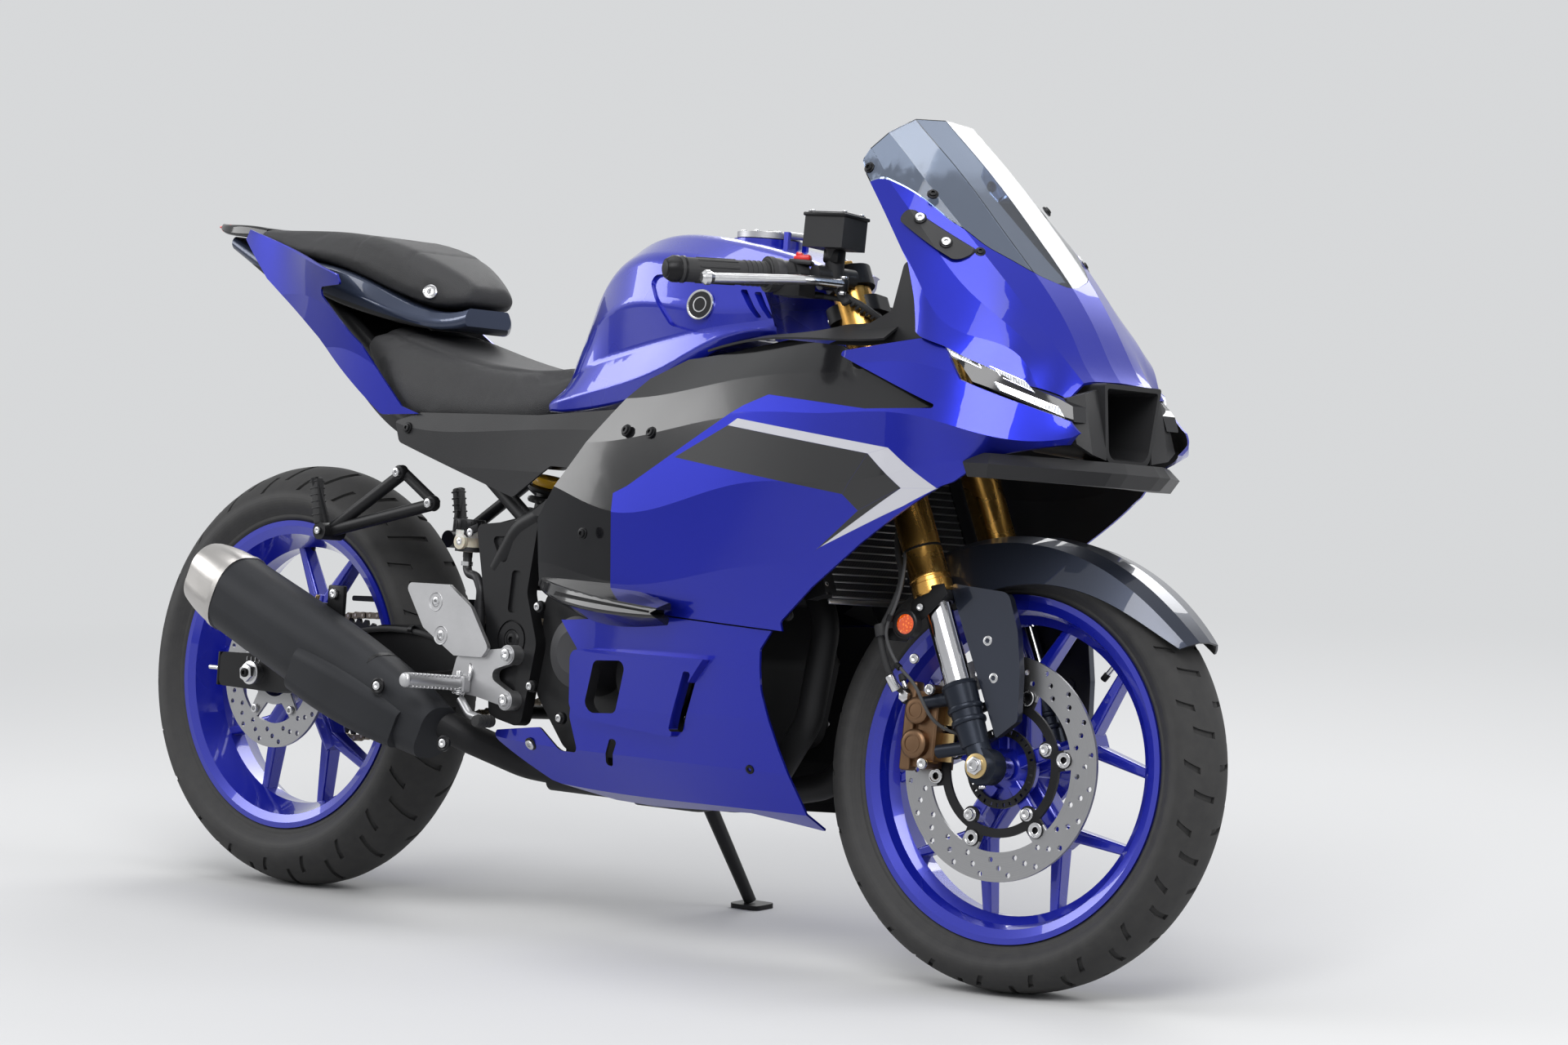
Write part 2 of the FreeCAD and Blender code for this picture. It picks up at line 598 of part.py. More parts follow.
def frame():
    """Steering head, twin main spars and the cast pivot plates."""
    low, high = (STEER_FOOT + STEER_DIR * (z / STEER_DIR.z) for z in (HEAD_LOW_Z, HEAD_HIGH_Z))
    head = Part.makeCylinder(32, (high - low).Length, low, STEER_DIR)
    bore = Part.makeCylinder(24, 300, low - STEER_DIR * 50, STEER_DIR)
    spar = tube([(402, 20, 790), (330, 84, 760), (120, 118, 690), (-150, 124, 560), (-190, 122, 500)], 17, 60)
    lower = tube([(420, 20, 755), (330, 100, 690), (250, 112, 560), (120, 112, 540)], 14, 40)
    pivot_plate = slab([(-228, 560, 10), (-105, 575, 10), (-118, 470, 30), (-92, 400, 30), (-112, 280, 14),
                        (-176, 292, 14), (-196, 430, 40)], 118.5, 138)
    pockets = [slab([(-196, 545, 6), (-150, 548, 6), (-168, 500, 8)], 134, 140),
               slab([(-150, 500, 6), (-132, 500, 6), (-136, 440, 6), (-154, 440, 6)], 134, 140),
               slab([(-168, 385, 8), (-124, 368, 8), (-130, 310, 8), (-158, 316, 8)], 134, 140)]
    ring = without(across(PIVOT_X, PIVOT_Z, 28, 135.5, 140), across(PIVOT_X, PIVOT_Z, 25, 135, 141))
    pivot_plate = without(pivot_plate, across(PIVOT_X, PIVOT_Z, 15, 133, 140), ring, *pockets)
    left = fused(spar, lower, pivot_plate)
    cross_low = across(PIVOT_X, PIVOT_Z, 9, -112.5, 112.5)
    crosses = [across(x, z, 10, -y, y) for x, z, y in ((-160, 560, 118), (-160, 300, 115))]
    return without(fused(head, left, mirrored(left), cross_low, *crosses, stand_bracket()), bore)


def subframe():
    """Seat rails with their upper braces, bolted to the main frame behind the tank."""
    rail = tube([(-130, 118, 560), (-250, 112, 640), (-430, 96, 745), (-640, 60, 872), (-800, 40, 925)], 12, 80)
    brace = tube([(-120, 118, 690), (-300, 106, 742), (-430, 96, 752)], 11, 60)
    left = fused(rail, brace)
    return fused(left, mirrored(left), across(-430, 745, 10, -96, 96))


def engine():
    """Parallel twin as one block: crankcase, sump, cylinders leaning forward and head."""
    case = slab([(-105, 330, 20), (-100, 470, 20), (60, 520, 20), (215, 500, 20), (250, 400, 30), (230, 290, 30),
                 (120, 250, 30), (-40, 255, 30)], -118, 118)
    cylinder = slab([(70, 480, 6), (118, 640, 12), (262, 640, 12), (240, 480, 6)], -100, 100)
    sprocket_room = block(-106, -10, 72, 119, 340, 450)
    return without(fused(case, cylinder), sprocket_room)


def engine_covers():
    """Round clutch cover on the right and generator cover on the left."""
    right = [turned([(-172, 0), (-172, 30), (-164, 50), (-118, 60), (-118, 0)], 12, 395),
             turned([(-150, 0), (-150, 52), (-118, 62), (-118, 0)], 130, 372)]
    left = [turned([(118, 0), (118, 66), (150, 60), (164, 40), (164, 0)], 140, 372),
            slab([(-92, 338, 20), (-88, 452, 20), (20, 452, 20), (40, 345, 20)], 118, 126)]
    return Part.makeCompound([fused(*right), *left])


def radiator():
    """Finned core between two end tanks, sloping back with the fork."""
    core = slab([(438, 498), (468, 508), (384, 690), (354, 680)], -150, 150)
    tanks = [slab([(434, 494, 6), (472, 506, 6), (384, 695, 6), (350, 682, 6)], y0, y1)
             for y0, y1 in ((-172, -150), (150, 172))]
    return fused(core, *tanks)


PIPE_R = 19.0


def exhaust_pipes():
    """Two headers from the head, down in front of the engine and under it to the collector."""
    pipes = [tube([(262, y, 560), (340, y, 545), (388, y * 1.15, 460), (372, y * 1.2, 330), (300, y, 238),
                   (150, y * 0.6, 205), (40, -20 + y * 0.4, 205)], PIPE_R, 60) for y in (-62, 62)]
    box = body_box((-120, 60), (-70, 40), (192, 246), 14)
    link = tube([(-110, -20, 218), (-170, -60, 226), (-215, -150, 262), (-262, -186, 292)], 22, 60)
    return fused(*pipes, box, link)


def body_box(xs, ys, zs, r):
    """Box with its long edges rounded."""
    rows = [(ys[0], zs[0], r), (ys[1], zs[0], r), (ys[1], zs[1], r), (ys[0], zs[1], r)]
    return Part.Face(wire(rows, cross(xs[0]))).extrude(V(xs[1] - xs[0], 0, 0))


MUFFLER_A, MUFFLER_B = V(-232, -186, 262), V(-700, -206, 452)


def muffler_ring(share, wide, tall, r, lift=0.0):
    """Rounded section across the silencer's axis at a share of its length."""
    axis = (MUFFLER_B - MUFFLER_A).normalize()
    up = V(0, 1, 0).cross(axis) * -1
    up.normalize()
    out = axis.cross(up)
    centre = MUFFLER_A + (MUFFLER_B - MUFFLER_A) * share + up * lift
    rows = [(wide, tall, r), (-wide, tall, r), (-wide, -tall, r), (wide, -tall, r)]
    return wire(rows, lambda u, v: centre + out * u + up * v)


def muffler():
    can = loft([muffler_ring(0.0, 34, 40, 26), muffler_ring(0.25, 46, 56, 38), muffler_ring(0.6, 52, 60, 46),
                muffler_ring(0.9, 50, 58, 46)])
    return can


def muffler_tip():
    end = loft([muffler_ring(0.9, 50.5, 58.5, 46), muffler_ring(0.97, 47, 55, 44), muffler_ring(1.03, 40, 48, 38)])
    hole = loft([muffler_ring(0.96, 20, 20, 19), muffler_ring(1.05, 20, 20, 19)])
    return without(end, hole)


def muffler_shield():
    """Heat shield standing proud of the silencer's outer face."""
    return without(loft([muffler_ring(0.08, 44, 30, 14, 14), muffler_ring(0.3, 56, 40, 20, 18),
                         muffler_ring(0.5, 58, 36, 20, 22)]).common(
        block(-700, -100, -300, -186, 100, 700)), muffler())


def swingarm():
    arm = slab([(PIVOT_X + 30, PIVOT_Z + 24, 20), (PIVOT_X + 30, PIVOT_Z - 28, 20), (-420, 330, 60), (-640, 288, 10),
                (-772, 290, 10), (-772, 340, 10), (-640, 344, 10), (-430, 404, 60)], 97, 118)
    bridge = slab([(-318, 414, 20), (-250, 416, 20), (-235, 375, 20), (-318, 362, 20)], -97, 97)
    ears = [across(PIVOT_X, PIVOT_Z, 26, -118, -97), across(PIVOT_X, PIVOT_Z, 26, 97, 118)]
    hub = across(PIVOT_X, PIVOT_Z, 19, -97, 97)
    pin = across(PIVOT_X, PIVOT_Z, 9, -120, 120)
    slots = [across(REAR_X, REAR_R, 10, y0, y1) for y0, y1 in ((-120, -90), (90, 120))]
    spools = [across(-560, 318, 4, y0, y1) for y0, y1 in ((-120, -100), (100, 120))]
    wheel_room = turned([(-80, 0), (-80, REAR_R + 14), (80, REAR_R + 14), (80, 0)], REAR_X, REAR_R)
    chain_room = slab([(-340, 340), (-340, 440), (-200, 440), (-200, 340)], 74, 97)
    return without(fused(arm, mirrored(arm), without(bridge, wheel_room, chain_room), hub, *ears, chain_guard()),
                   pin, *slots, *spools)


def chain_guard():
    """Moulded guard over the chain's upper run, with a lip down its outer side."""
    top = slab([(-236, 456, 10), (-420, 448, 60), (-560, 442, 60), (-704, 436, 10), (-704, 428, 4), (-560, 432, 60),
                (-420, 438, 60), (-236, 446, 6)], 78, 104)
    lip = slab([(-290, 448), (-660, 434), (-640, 414, 10), (-290, 408, 8)], 101, 104)
    foot = slab([(-300, 446, 4), (-340, 444, 4), (-340, 400), (-300, 400)], 100, 110)
    return fused(top, lip, foot)


def rear_axle():
    bar = across(REAR_X, REAR_R, 10, -134, 134)
    nuts = [across(REAR_X, REAR_R, 17, -130, -118), across(REAR_X, REAR_R, 17, 118, 130)]
    spacers = [across(REAR_X, REAR_R, 16, -97, -63), across(REAR_X, REAR_R, 16, 95.5, 97)]
    return fused(bar, *nuts, *spacers)


def rear_shock():
    low, high = V(-262, 0, 436), V(-215, 0, 660)
    u = (high - low).normalize()
    core = Part.makeCylinder(9, (high - low).Length, low, u)
    coil = Part.makeCylinder(30, 130, low + u * 50, u)
    return fused(core, coil, Part.makeCylinder(33, 8, low + u * 42, u), Part.makeCylinder(33, 8, low + u * 180, u),
                 across(high.x, high.z, 12, -18, 18))


def rear_caliper():
    x, z = REAR_X + 74, REAR_R + 88
    return without(fused(block(x - 34, x + 34, REAR_DISC_Y - 22, REAR_DISC_Y + 24, z - 26, z + 24),
                         rod((x, REAR_DISC_Y - 17, z - 20), (REAR_X + 20, REAR_DISC_Y - 17, REAR_R + 30), 6)),
                   turned([(REAR_DISC_Y - 5, 60), (REAR_DISC_Y + 10, 60), (REAR_DISC_Y + 10, REAR_DISC_R + 5),
                           (REAR_DISC_Y - 5, REAR_DISC_R + 5)], REAR_X, REAR_R))


def foot_brackets():
    """Cast rider's footrest hangers bolted to the pivot plates."""
    hanger = fused(slab([(-232, 372, 8), (-180, 384, 8), (-120, 392, 10), (-122, 370, 10), (-176, 352, 12),
                         (-122, 328, 10), (-120, 306, 10), (-190, 318, 10), (-246, 322, 8)], 140, 154),
                   across(-128, 381, 14, 138.2, 158), across(-126, 317, 14, 138.2, 158))
    return pair(hanger)


def heel_guards():
    guard = slab([(-342, 470, 8), (-252, 472, 8), (-204, 443, 8), (-164, 388, 8), (-176, 374, 6), (-232, 372.5, 6),
                  (-298, 408, 10)], 154.2, 161)
    seats = [Part.makeCone(7, 12, 4, V(x, 157.5, z), V(0, 1, 0)) for x, z in ((-276, 446), (-261, 399))]
    return pair(without(guard, *seats))


def foot_pegs():
    peg = rod((-212, 154.2, 334), (-222, 262, 336), 11, 9)
    return pair(peg)


def passenger_hangers():
    arm = fused(rod((-395, 128, 626), (-540, 132, 533), 9), rod((-325, 128, 585), (-540, 132, 533), 9),
                rod((-395, 128, 626), (-325, 128, 585), 8),
                rod((-540, 110, 533), (-540, 152, 533), 13), rod((-545, 136, 540), (-560, 150, 610), 9, 6))
    return pair(arm)


def brake_reservoir_rear():
    cup = rod((-262, -118, 520), (-262, -118, 552), 19)
    cap = rod((-262, -118, 552), (-262, -118, 566), 22)
    spout = rod((-262, -118, 512), (-262, -118, 522), 7)
    return fused(cup, cap, spout)


def rear_master():
    """Rear brake master cylinder behind the heel guard, and the hose that feeds it from the cup."""
    x, y = -220, -128
    cylinder = fused(rod((x, y, 388), (x, y, 440), 9.5), rod((x, y, 352), (x, y, 390), 5),
                     rod((x, y, 440), (x, y, 452), 8))
    hose = tube([(-262, -118, 512), (-260, -119, 490), (-232, -126, 486), (x, y, 468), (x, y, 452)], 6.5, 16)
    return fused(cylinder, hose)


def pedals():
    lever_ = fused(tube([(-212, -160, 312), (-186, -166, 292), (-142, -170, 286)], 6, 20),
                   rod((-142, -164, 286), (-142, -194, 286), 7))
    return pair(lever_)


# ---------------------------------------------------------------- bodywork
TANK = [
    (-118, [(30, 790), (55, 782), (78, 768), (98, 755), (122, 738), (120, 726)]),
    (-90, [(45, 880), (72, 862), (92, 815), (104, 775), (128, 744), (126, 726)]),
    (-50, [(55, 938), (92, 912), (108, 850), (112, 795), (132, 752), (128, 730)]),
    (20, [(65, 978), (115, 945), (132, 880), (118, 815), (136, 768), (130, 742)]),
    (110, [(72, 985), (124, 950), (144, 885), (132, 835), (140, 795), (132, 772)]),
    (200, [(70, 975), (114, 942), (136, 880), (132, 852), (136, 836), (128, 822)]),
    (290, [(60, 955), (94, 925), (112, 885), (116, 866), (114, 852), (106, 842)]),
    (365, [(46, 925), (70, 905), (88, 885), (90, 874), (88, 864), (80, 856)]),
]
SEAT = [
    (-512, [(60, 838), (105, 828), (116, 812), (110, 800)]),
    (-450, [(70, 828), (125, 812), (140, 780), (132, 756)]),
    (-350, [(80, 802), (132, 788), (148, 755), (142, 736)]),
    (-250, [(80, 786), (125, 772), (140, 750), (134, 734)]),
    (-160, [(68, 786), (98, 776), (116, 758), (112, 742)]),
    (-124, [(50, 800), (66, 790), (78, 776), (74, 760)]),
]
PILLION = [
    (-815, [(45, 978), (62, 972), (70, 962), (66, 954)]),
    (-700, [(62, 976), (84, 964), (92, 948), (88, 936)]),
    (-590, [(66, 972), (94, 958), (102, 938), (96, 920)]),
    (-480, [(66, 952), (92, 935), (100, 905), (92, 885)]),
    (-410, [(48, 925), (70, 905), (78, 882), (70, 868)]),
    (-372, [(30, 900), (42, 892), (46, 884), (40, 876)]),
]
TAIL_CENTRE = [
    (-812, [(62, 952), (66, 940), (60, 925)]),
    (-700, [(84, 934), (88, 915), (78, 900)]),
    (-590, [(92, 918), (98, 890), (88, 866)]),
    (-480, [(88, 883), (100, 862), (92, 846)]),
    (-405, [(64, 864), (74, 850), (70, 838)]),
    (-376, [(40, 872), (48, 858), (44, 846)]),
]
UNDERTAIL = [
    (-900, [(38, 968), (44, 958), (38, 948)]),
    (-772, [(44, 922), (54, 905), (48, 884)]),
    (-624, [(64, 862), (76, 820), (66, 790)]),
    (-450, [(96, 744), (108, 710), (96, 684)]),
    (-385, [(100, 725), (110, 695), (98, 665)]),
]
TAIL = [
    (-870, [(46, 1010), (54, 960), (52, 900), (50, 800), (50, 690)]),
    (-700, [(80, 1000), (100, 945), (100, 880), (95, 800), (90, 690)]),
    (-600, [(110, 990), (142, 922), (132, 870), (124, 800), (120, 690)]),
    (-520, [(140, 980), (168, 905), (154, 850), (146, 800), (140, 690)]),
    (-430, [(150, 950), (168, 880), (160, 830), (154, 770), (148, 690)]),
    (-340, [(150, 940), (160, 860), (158, 800), (154, 740), (150, 690)]),
]
TAIL_OUTLINE = [(-830, 977), (-527, 908), (-520, 893, 4), (-604, 889, 8), (-505, 824, 10), (-478, 808), (-388, 722, 6),
                (-350, 712), (-430, 708, 20), (-600, 816, 30), (-770, 903, 10), (-842, 962)]
SIDE_COVER = [
    (-410, [(136, 750), (146, 700), (142, 640), (130, 550)]),
    (-250, [(140, 750), (152, 690), (150, 640), (142, 550)]),
    (-100, [(140, 755), (151, 700), (153, 640), (148, 550)]),
    (50, [(144, 765), (152, 705), (158, 640), (158, 550)]),
    (140, [(146, 765), (154, 710), (160, 640), (160, 550)]),
]
SIDE_COVER_OUTLINE = [(-392, 670, 10), (-402, 700, 6), (-350, 714, 6), (-112, 720, 6), (60, 736), (112, 752, 6),
                      (130, 712, 12), (-95, 578, 10), (-112, 582, 4), (-8, 648, 4), (-75, 650, 6), (-150, 602, 8)]
FAIRING = [
    (-120, [(128, 800), (150, 745), (166, 690), (170, 600), (166, 500), (160, 430)]),
    (60, [(150, 810), (188, 755), (212, 690), (220, 600), (212, 500), (204, 430)]),
    (200, [(162, 820), (202, 770), (228, 712), (232, 600), (222, 500), (212, 430)]),
    (350, [(176, 845), (214, 795), (237, 737), (240, 640), (226, 530), (210, 430)]),
    (500, [(190, 862), (218, 805), (240, 742), (238, 650), (218, 540), (198, 430)]),
    (620, [(186, 864), (212, 815), (238, 748), (230, 670), (208, 570), (188, 460)]),
    (700, [(172, 848), (202, 800), (230, 738), (206, 690), (184, 630), (165, 540)]),
    (765, [(142, 812), (166, 778), (196, 724), (150, 698), (120, 650), (100, 590)]),
    (835, [(92, 772), (118, 752), (112, 736), (88, 722), (66, 696), (50, 650)]),
]
FAIRING_OUTLINE = [(118, 600, 6), (118, 618), (145, 629), (355, 747, 12), (395, 763, 8), (570, 751), (692, 757, 3),
                   (487, 824, 4), (625, 848), (662, 838), (700, 796), (822, 752), (833, 738), (818, 722),
                   (740, 700), (697, 664), (682, 657), (563, 575), (482, 513), (428, 464, 6), (430, 452),
                   (222, 459), (119, 485)]
DUCT_OUTLINE = [(-70, 575, 6), (112, 778), (200, 823), (300, 843), (480, 834), (690, 764), (560, 738), (380, 735),
                (150, 605), (122, 480), (-60, 480, 6)]
LOWER = [
    (-190, [(148, 455), (150, 400), (146, 330), (134, 270), (104, 222), (60, 204)]),
    (0, [(178, 456), (182, 400), (176, 330), (158, 260), (118, 206), (66, 188)]),
    (150, [(204, 458), (196, 400), (180, 330), (158, 260), (120, 204), (70, 186)]),
    (300, [(214, 457), (202, 400), (182, 330), (155, 260), (124, 206), (76, 186)]),
    (390, [(206, 456), (194, 400), (172, 330), (142, 260), (112, 206), (74, 186)]),
    (460, [(190, 452), (176, 400), (150, 330), (122, 260), (98, 206), (70, 184)]),
]
LOWER_OUTLINE = [(-7, 438), (222, 457), (406, 450.5), (386, 425, 10), (380, 370, 60), (392, 290, 60), (414, 185),
                 (310, 200), (105, 190), (30, 192), (-55, 212), (-168, 272, 8), (-48, 286, 10), (-12, 256, 12),
                 (22, 256, 8), (14, 306, 10), (40, 396, 20)]
SCOOP_OUTLINE = [(34, 398, 20), (62, 402), (300, 404), (238, 340, 30), (222, 294, 6), (30, 307, 20)]
SCOOP_WINDOW = [(84, 388, 12), (150, 392, 10), (120, 318, 14), (56, 314, 14)]
SCOOP_SLIT = [(262, 386, 5), (276, 386, 5), (232, 302, 4), (218, 302, 4)]
LOW_SLOT = [(88, 282, 6), (102, 280, 6), (80, 242, 6), (68, 244, 6)]
NOSE = [
    (425, [(0, 1190), (60, 1184), (96, 1152), (116, 1112), (130, 1070), (138, 1030)]),
    (474, [(0, 1149), (60, 1143), (102, 1112), (126, 1074), (142, 1030), (150, 990)]),
    (530, [(0, 1103), (60, 1097), (108, 1066), (138, 1026), (158, 980), (168, 930)]),
    (590, [(0, 1050), (60, 1044), (110, 1014), (148, 974), (174, 926), (186, 870)]),
    (640, [(0, 1002), (60, 996), (108, 970), (150, 928), (184, 876), (202, 842)]),
    (700, [(0, 942), (56, 936), (100, 912), (140, 884), (170, 852), (184, 820)]),
    (760, [(0, 868), (52, 862), (84, 846), (112, 828), (134, 812), (148, 794)]),
    (812, [(0, 800), (50, 798), (72, 792), (92, 786), (108, 780), (120, 772)]),
]
NOSE_OUTLINE = [(437, 1086, 6), (450, 1066, 10), (566, 948, 30), (592, 900, 20), (613, 852, 8), (662, 839),
                (797, 781), (800, 806), (880, 900), (700, 1250), (522, 1250)]
SCREEN_TOP, SCREEN_SLOPE = V(474, 0, 1149), 43.0
SCREEN_OUTLINE = [(-90, 0, 0), (-90, 200, 0), (40, 140, 0), (60, 131, 30), (180, 117, 120), (240, 98, 80),
                  (300, 56, 50), (326, 0, 40)]


def window_prism(rows, reach):
    """Prism square to the windscreen from (distance down the screen, half width) rows."""
    a = math.radians(SCREEN_SLOPE)
    down, normal = V(math.cos(a), 0, -math.sin(a)), V(math.sin(a), 0, math.cos(a))
    full = list(rows) + [(s, -y, r) for s, y, r in rows[::-1] if y]
    face = Part.Face(wire(full, lambda s, y: SCREEN_TOP + down * s + V(0, y, 0) - normal * reach))
    return face.extrude(normal * 2 * reach)


def nose_shell(t, out=0.0):
    """Arched shell of the nose, symmetrical, from the table of half sections."""
    sections = []
    for x, rows in NOSE:
        full = [(-y, z) for y, z in rows[::-1]][:-1] + rows
        outer = offset_rows(full, -out)
        inner = offset_rows(outer, t)
        sections.append(wire(outer + inner[::-1], cross(x)))
    return loft(sections)


def upper_cowl():
    shell = nose_shell(PANEL)
    return shell.common(slab(NOSE_OUTLINE, -400, 400)).cut(window_prism(SCREEN_OUTLINE, 130))


def windscreen():
    inset = [(s, max(y - 1.2, 0), r) for s, y, r in SCREEN_OUTLINE]
    return nose_shell(PANEL).common(window_prism(inset, 130)).common(slab(NOSE_OUTLINE, -400, 400))


def tail_panels():
    return pair(skin(TAIL, PANEL).common(slab(TAIL_OUTLINE, 0, 300)))


def side_covers():
    return pair(skin(SIDE_COVER, PANEL).common(slab(SIDE_COVER_OUTLINE, 0, 300)))


def side_fairings():
    return pair(skin(FAIRING, PANEL).common(slab(FAIRING_OUTLINE, 0, 400)))


WINGLET = [                               # x, then (y, z) corners of the blade's section
    (-48, [(150, 500), (182, 494), (186, 480), (150, 472)]),
    (30, [(168, 502), (226, 486), (231, 466), (176, 446)]),
    (150, [(206, 494), (250, 474), (255, 456), (214, 436)]),
    (244, [(226, 478), (256, 468), (257, 456), (230, 444)]),
]


def duct_panels():
    return pair(skin(FAIRING, PANEL, -14).common(slab(DUCT_OUTLINE, 0, 400)))


def winglets():
    """Blades that stand out where the upper and lower fairing meet, notched at the tip."""
    blade = loft([wire([(y, z, 4) for y, z in rows], cross(x)) for x, rows in WINGLET])
    notch = slab([(233, 461), (260, 474), (260, 446)], 150, 300)
    groove = slab([(-60, 484), (232, 464), (232, 461), (-60, 477)], 226, 300)
    return pair(without(blade, notch, groove))


def lower_cowls():
    base = skin(LOWER, PANEL).common(slab(LOWER_OUTLINE, 0, 400))
    scoop = skin(LOWER, 15, 14).common(slab(SCOOP_OUTLINE, 0, 400))
    cuts = [slab(rows, 0, 400) for rows in (SCOOP_WINDOW, SCOOP_SLIT, LOW_SLOT)]
    right = without(fused(base, scoop), *cuts)
    stand_room = block(-250, -30, 0, 400, 100, 300)
    return Part.makeCompound([mirrored(right), without(right, stand_room)])


TANK_RADII = (40, 34, 30, 20, 8, 5)
TANK_PANEL = [(66, 922, 10), (118, 854, 16), (160, 846, 20), (205, 844, 6), (440, 884), (440, 938), (250, 938)]
SLOT_TOP, SLOT_FOOT, SLOT_WIDE, SLOT_STEP, SLOTS = (224, 908), (259, 870), 11.0, 22.0, 4


def narrowed(table, by):
    """The body's table with every half width reduced."""
    return [(x, [(y - by, z) for y, z in rows]) for x, rows in table]


def fuel_tank():
    """Sculpted tank: shoulders, knee cut-outs, a sunk panel and four slanted slots on each side."""
    shell = body(TANK, TANK_RADII)
    core = body(narrowed(TANK, 5), TANK_RADII)
    panels = [slab(TANK_PANEL, y0, y1).cut(core) for y0, y1 in ((-200, -60), (60, 200))]
    slots = []
    for i in range(SLOTS):
        (x0, z0), (x1, z1) = SLOT_TOP, SLOT_FOOT
        shift, drop = i * SLOT_STEP, i * 2.5
        rows = [(x0 + shift, z0 - drop, 2), (x0 + shift + SLOT_WIDE, z0 - drop, 2),
                (x1 + shift * 0.82 + SLOT_WIDE * 0.8, z1, 2), (x1 + shift * 0.82, z1, 2)]
        slots += [slab(rows, y0, y1) for y0, y1 in ((-200, -104 + i * 6), (104 - i * 6, 200))]
    carved = max(without(shell, swing_room(138, 246), *panels, *slots).Solids, key=lambda solid: solid.Volume)
    return fused(carved, filler_neck())


def rider_seat():
    return body(SEAT, (30, 22, 16, 8))


def pillion_seat():
    return body(PILLION, (22, 12, 8, 5))


def tail_centre():
    return body(TAIL_CENTRE, (6, 10, 6))


def undertail():
    return body(UNDERTAIL, (8, 12, 8))


def tail_light():
    return fused(body([(-938, [(30, 988), (34, 978)]), (-905, [(44, 986), (48, 970)]), (-842, [(48, 984), (52, 968)]),
                       (-818, [(46, 981), (50, 968)])], (5, 4)))


def headlights():
    """Slim lamp units between the nose and the side fairing."""
    rows = [(668, 834), (797, 780), (812, 772), (818, 752), (706, 795)]
    lamp = skin(NOSE_LAMP, 24).common(slab(rows, 0, 400))
    return pair(lamp)


NOSE_LAMP = [
    (650, [(176, 880), (190, 842), (196, 800), (190, 740)]),
    (700, [(166, 850), (176, 826), (188, 796), (180, 740)]),
    (760, [(132, 830), (140, 800), (156, 776), (150, 720)]),
    (830, [(84, 800), (94, 776), (100, 752), (90, 700)]),
]


def nose_duct():
    """Central intake: a square-mouthed duct that narrows to the rear."""
    outer = loft([wire([(60, 806, 4), (46, 700, 22), (-46, 700, 22), (-60, 806, 4)], cross(824)),
                  wire([(56, 800, 4), (42, 712, 18), (-42, 712, 18), (-56, 800, 4)], cross(690))])
    return outer.cut(duct_bore())


def duct_bore():
    """Room inside the intake."""
    return loft([wire([(55, 801, 4), (41, 705, 18), (-41, 705, 18), (-55, 801, 4)], cross(856)),
                 wire([(50, 794, 4), (37, 718, 14), (-37, 718, 14), (-50, 794, 4)], cross(700))])


CHIN = [                                  # height, then half the lip's (x, y) outline, outer edge first
    (704, [(842, 30), (840, 54), (812, 96), (748, 188), (716, 188), (738, 130), (776, 54), (776, 30)]),
    (690, [(852, 34), (848, 62), (818, 108), (756, 202), (712, 200), (736, 134), (774, 58), (774, 34)]),
    (672, [(838, 32), (834, 58), (806, 102), (748, 194), (716, 194), (740, 130), (778, 54), (778, 32)]),
]


def nose_chin():
    """Black lower lip under the nose: a crest along its edge, swept back to the fairing sides."""
    rings = [wire(half + [(x, -y) for x, y in half[::-1]], plan(z)) for z, half in CHIN]
    return fused(*(Part.makeLoft([low, high], True, True) for low, high in zip(rings, rings[1:])))


def nose_cheeks():
    """Black faces between the intake's mouth and the lamps."""
    rings = [wire([(x + dx, z) for x, z, dx in rows], side(y)) for y, rows in (
        (47.5, [(806, 800, 8), (818, 706, 8), (818, 706, 0), (806, 800, 0)]),
        (80, [(800, 790, 8), (820, 712, 8), (820, 712, 0), (800, 790, 0)]),
        (104, [(790, 782, 8), (812, 724, 8), (812, 724, 0), (790, 782, 0)]))]
    return pair(Part.makeLoft(rings, True, True))


def cockpit_panels():
    """Inner panels from the tank's shoulders up to the rear edge of the nose."""
    panel = slab([(432, 836), (470, 850, 20), (540, 884, 10), (556, 950, 10), (588, 946), (612, 852),
                  (500, 836, 20)], 158, 161.5)
    return pair(panel)


SHELF = [
    (205, [(130, 827), (150, 822)]),
    (290, [(120, 848), (166, 837)]),
    (400, [(143, 860), (180, 843)]),
    (500, [(146, 868), (186, 843)]),
    (552, [(148, 872), (188, 846)]),
]


def swing_room(r, long=220):
    """Room for what turns with the fork, beside the tank: its middle is 4 mm behind the steering axis."""
    return Part.makeCylinder(r, long, STEER_FOOT + STEER_DIR * 800 + STEER_DIR.cross(V(0, 1, 0)) * 4, STEER_DIR)


def shelf_panels():
    """Matt strips from the tank's lower edge to the duct panels, hollowed where the brake hose sweeps."""
    return pair(without(skin(SHELF, 3.0), swing_room(160)))


def instrument_panel():
    face = slab([(520, 905, 8), (546, 905, 8), (512, 985, 8), (484, 985, 8)], -58, 58)
    stay = slab([(515, 915), (586, 888), (586, 874), (515, 900)], -20, 20)
    return fused(face, stay)


def mirror_plates():
    return pair(skin(NOSE_SIDE_STRIP, 4, 4.2).common(slab([(540, 1022, 10), (640, 968, 12), (628, 952, 12),
                                                         (530, 1005, 10)], 0, 300)))


NOSE_SIDE_STRIP = [(x, rows[2:]) for x, rows in NOSE]

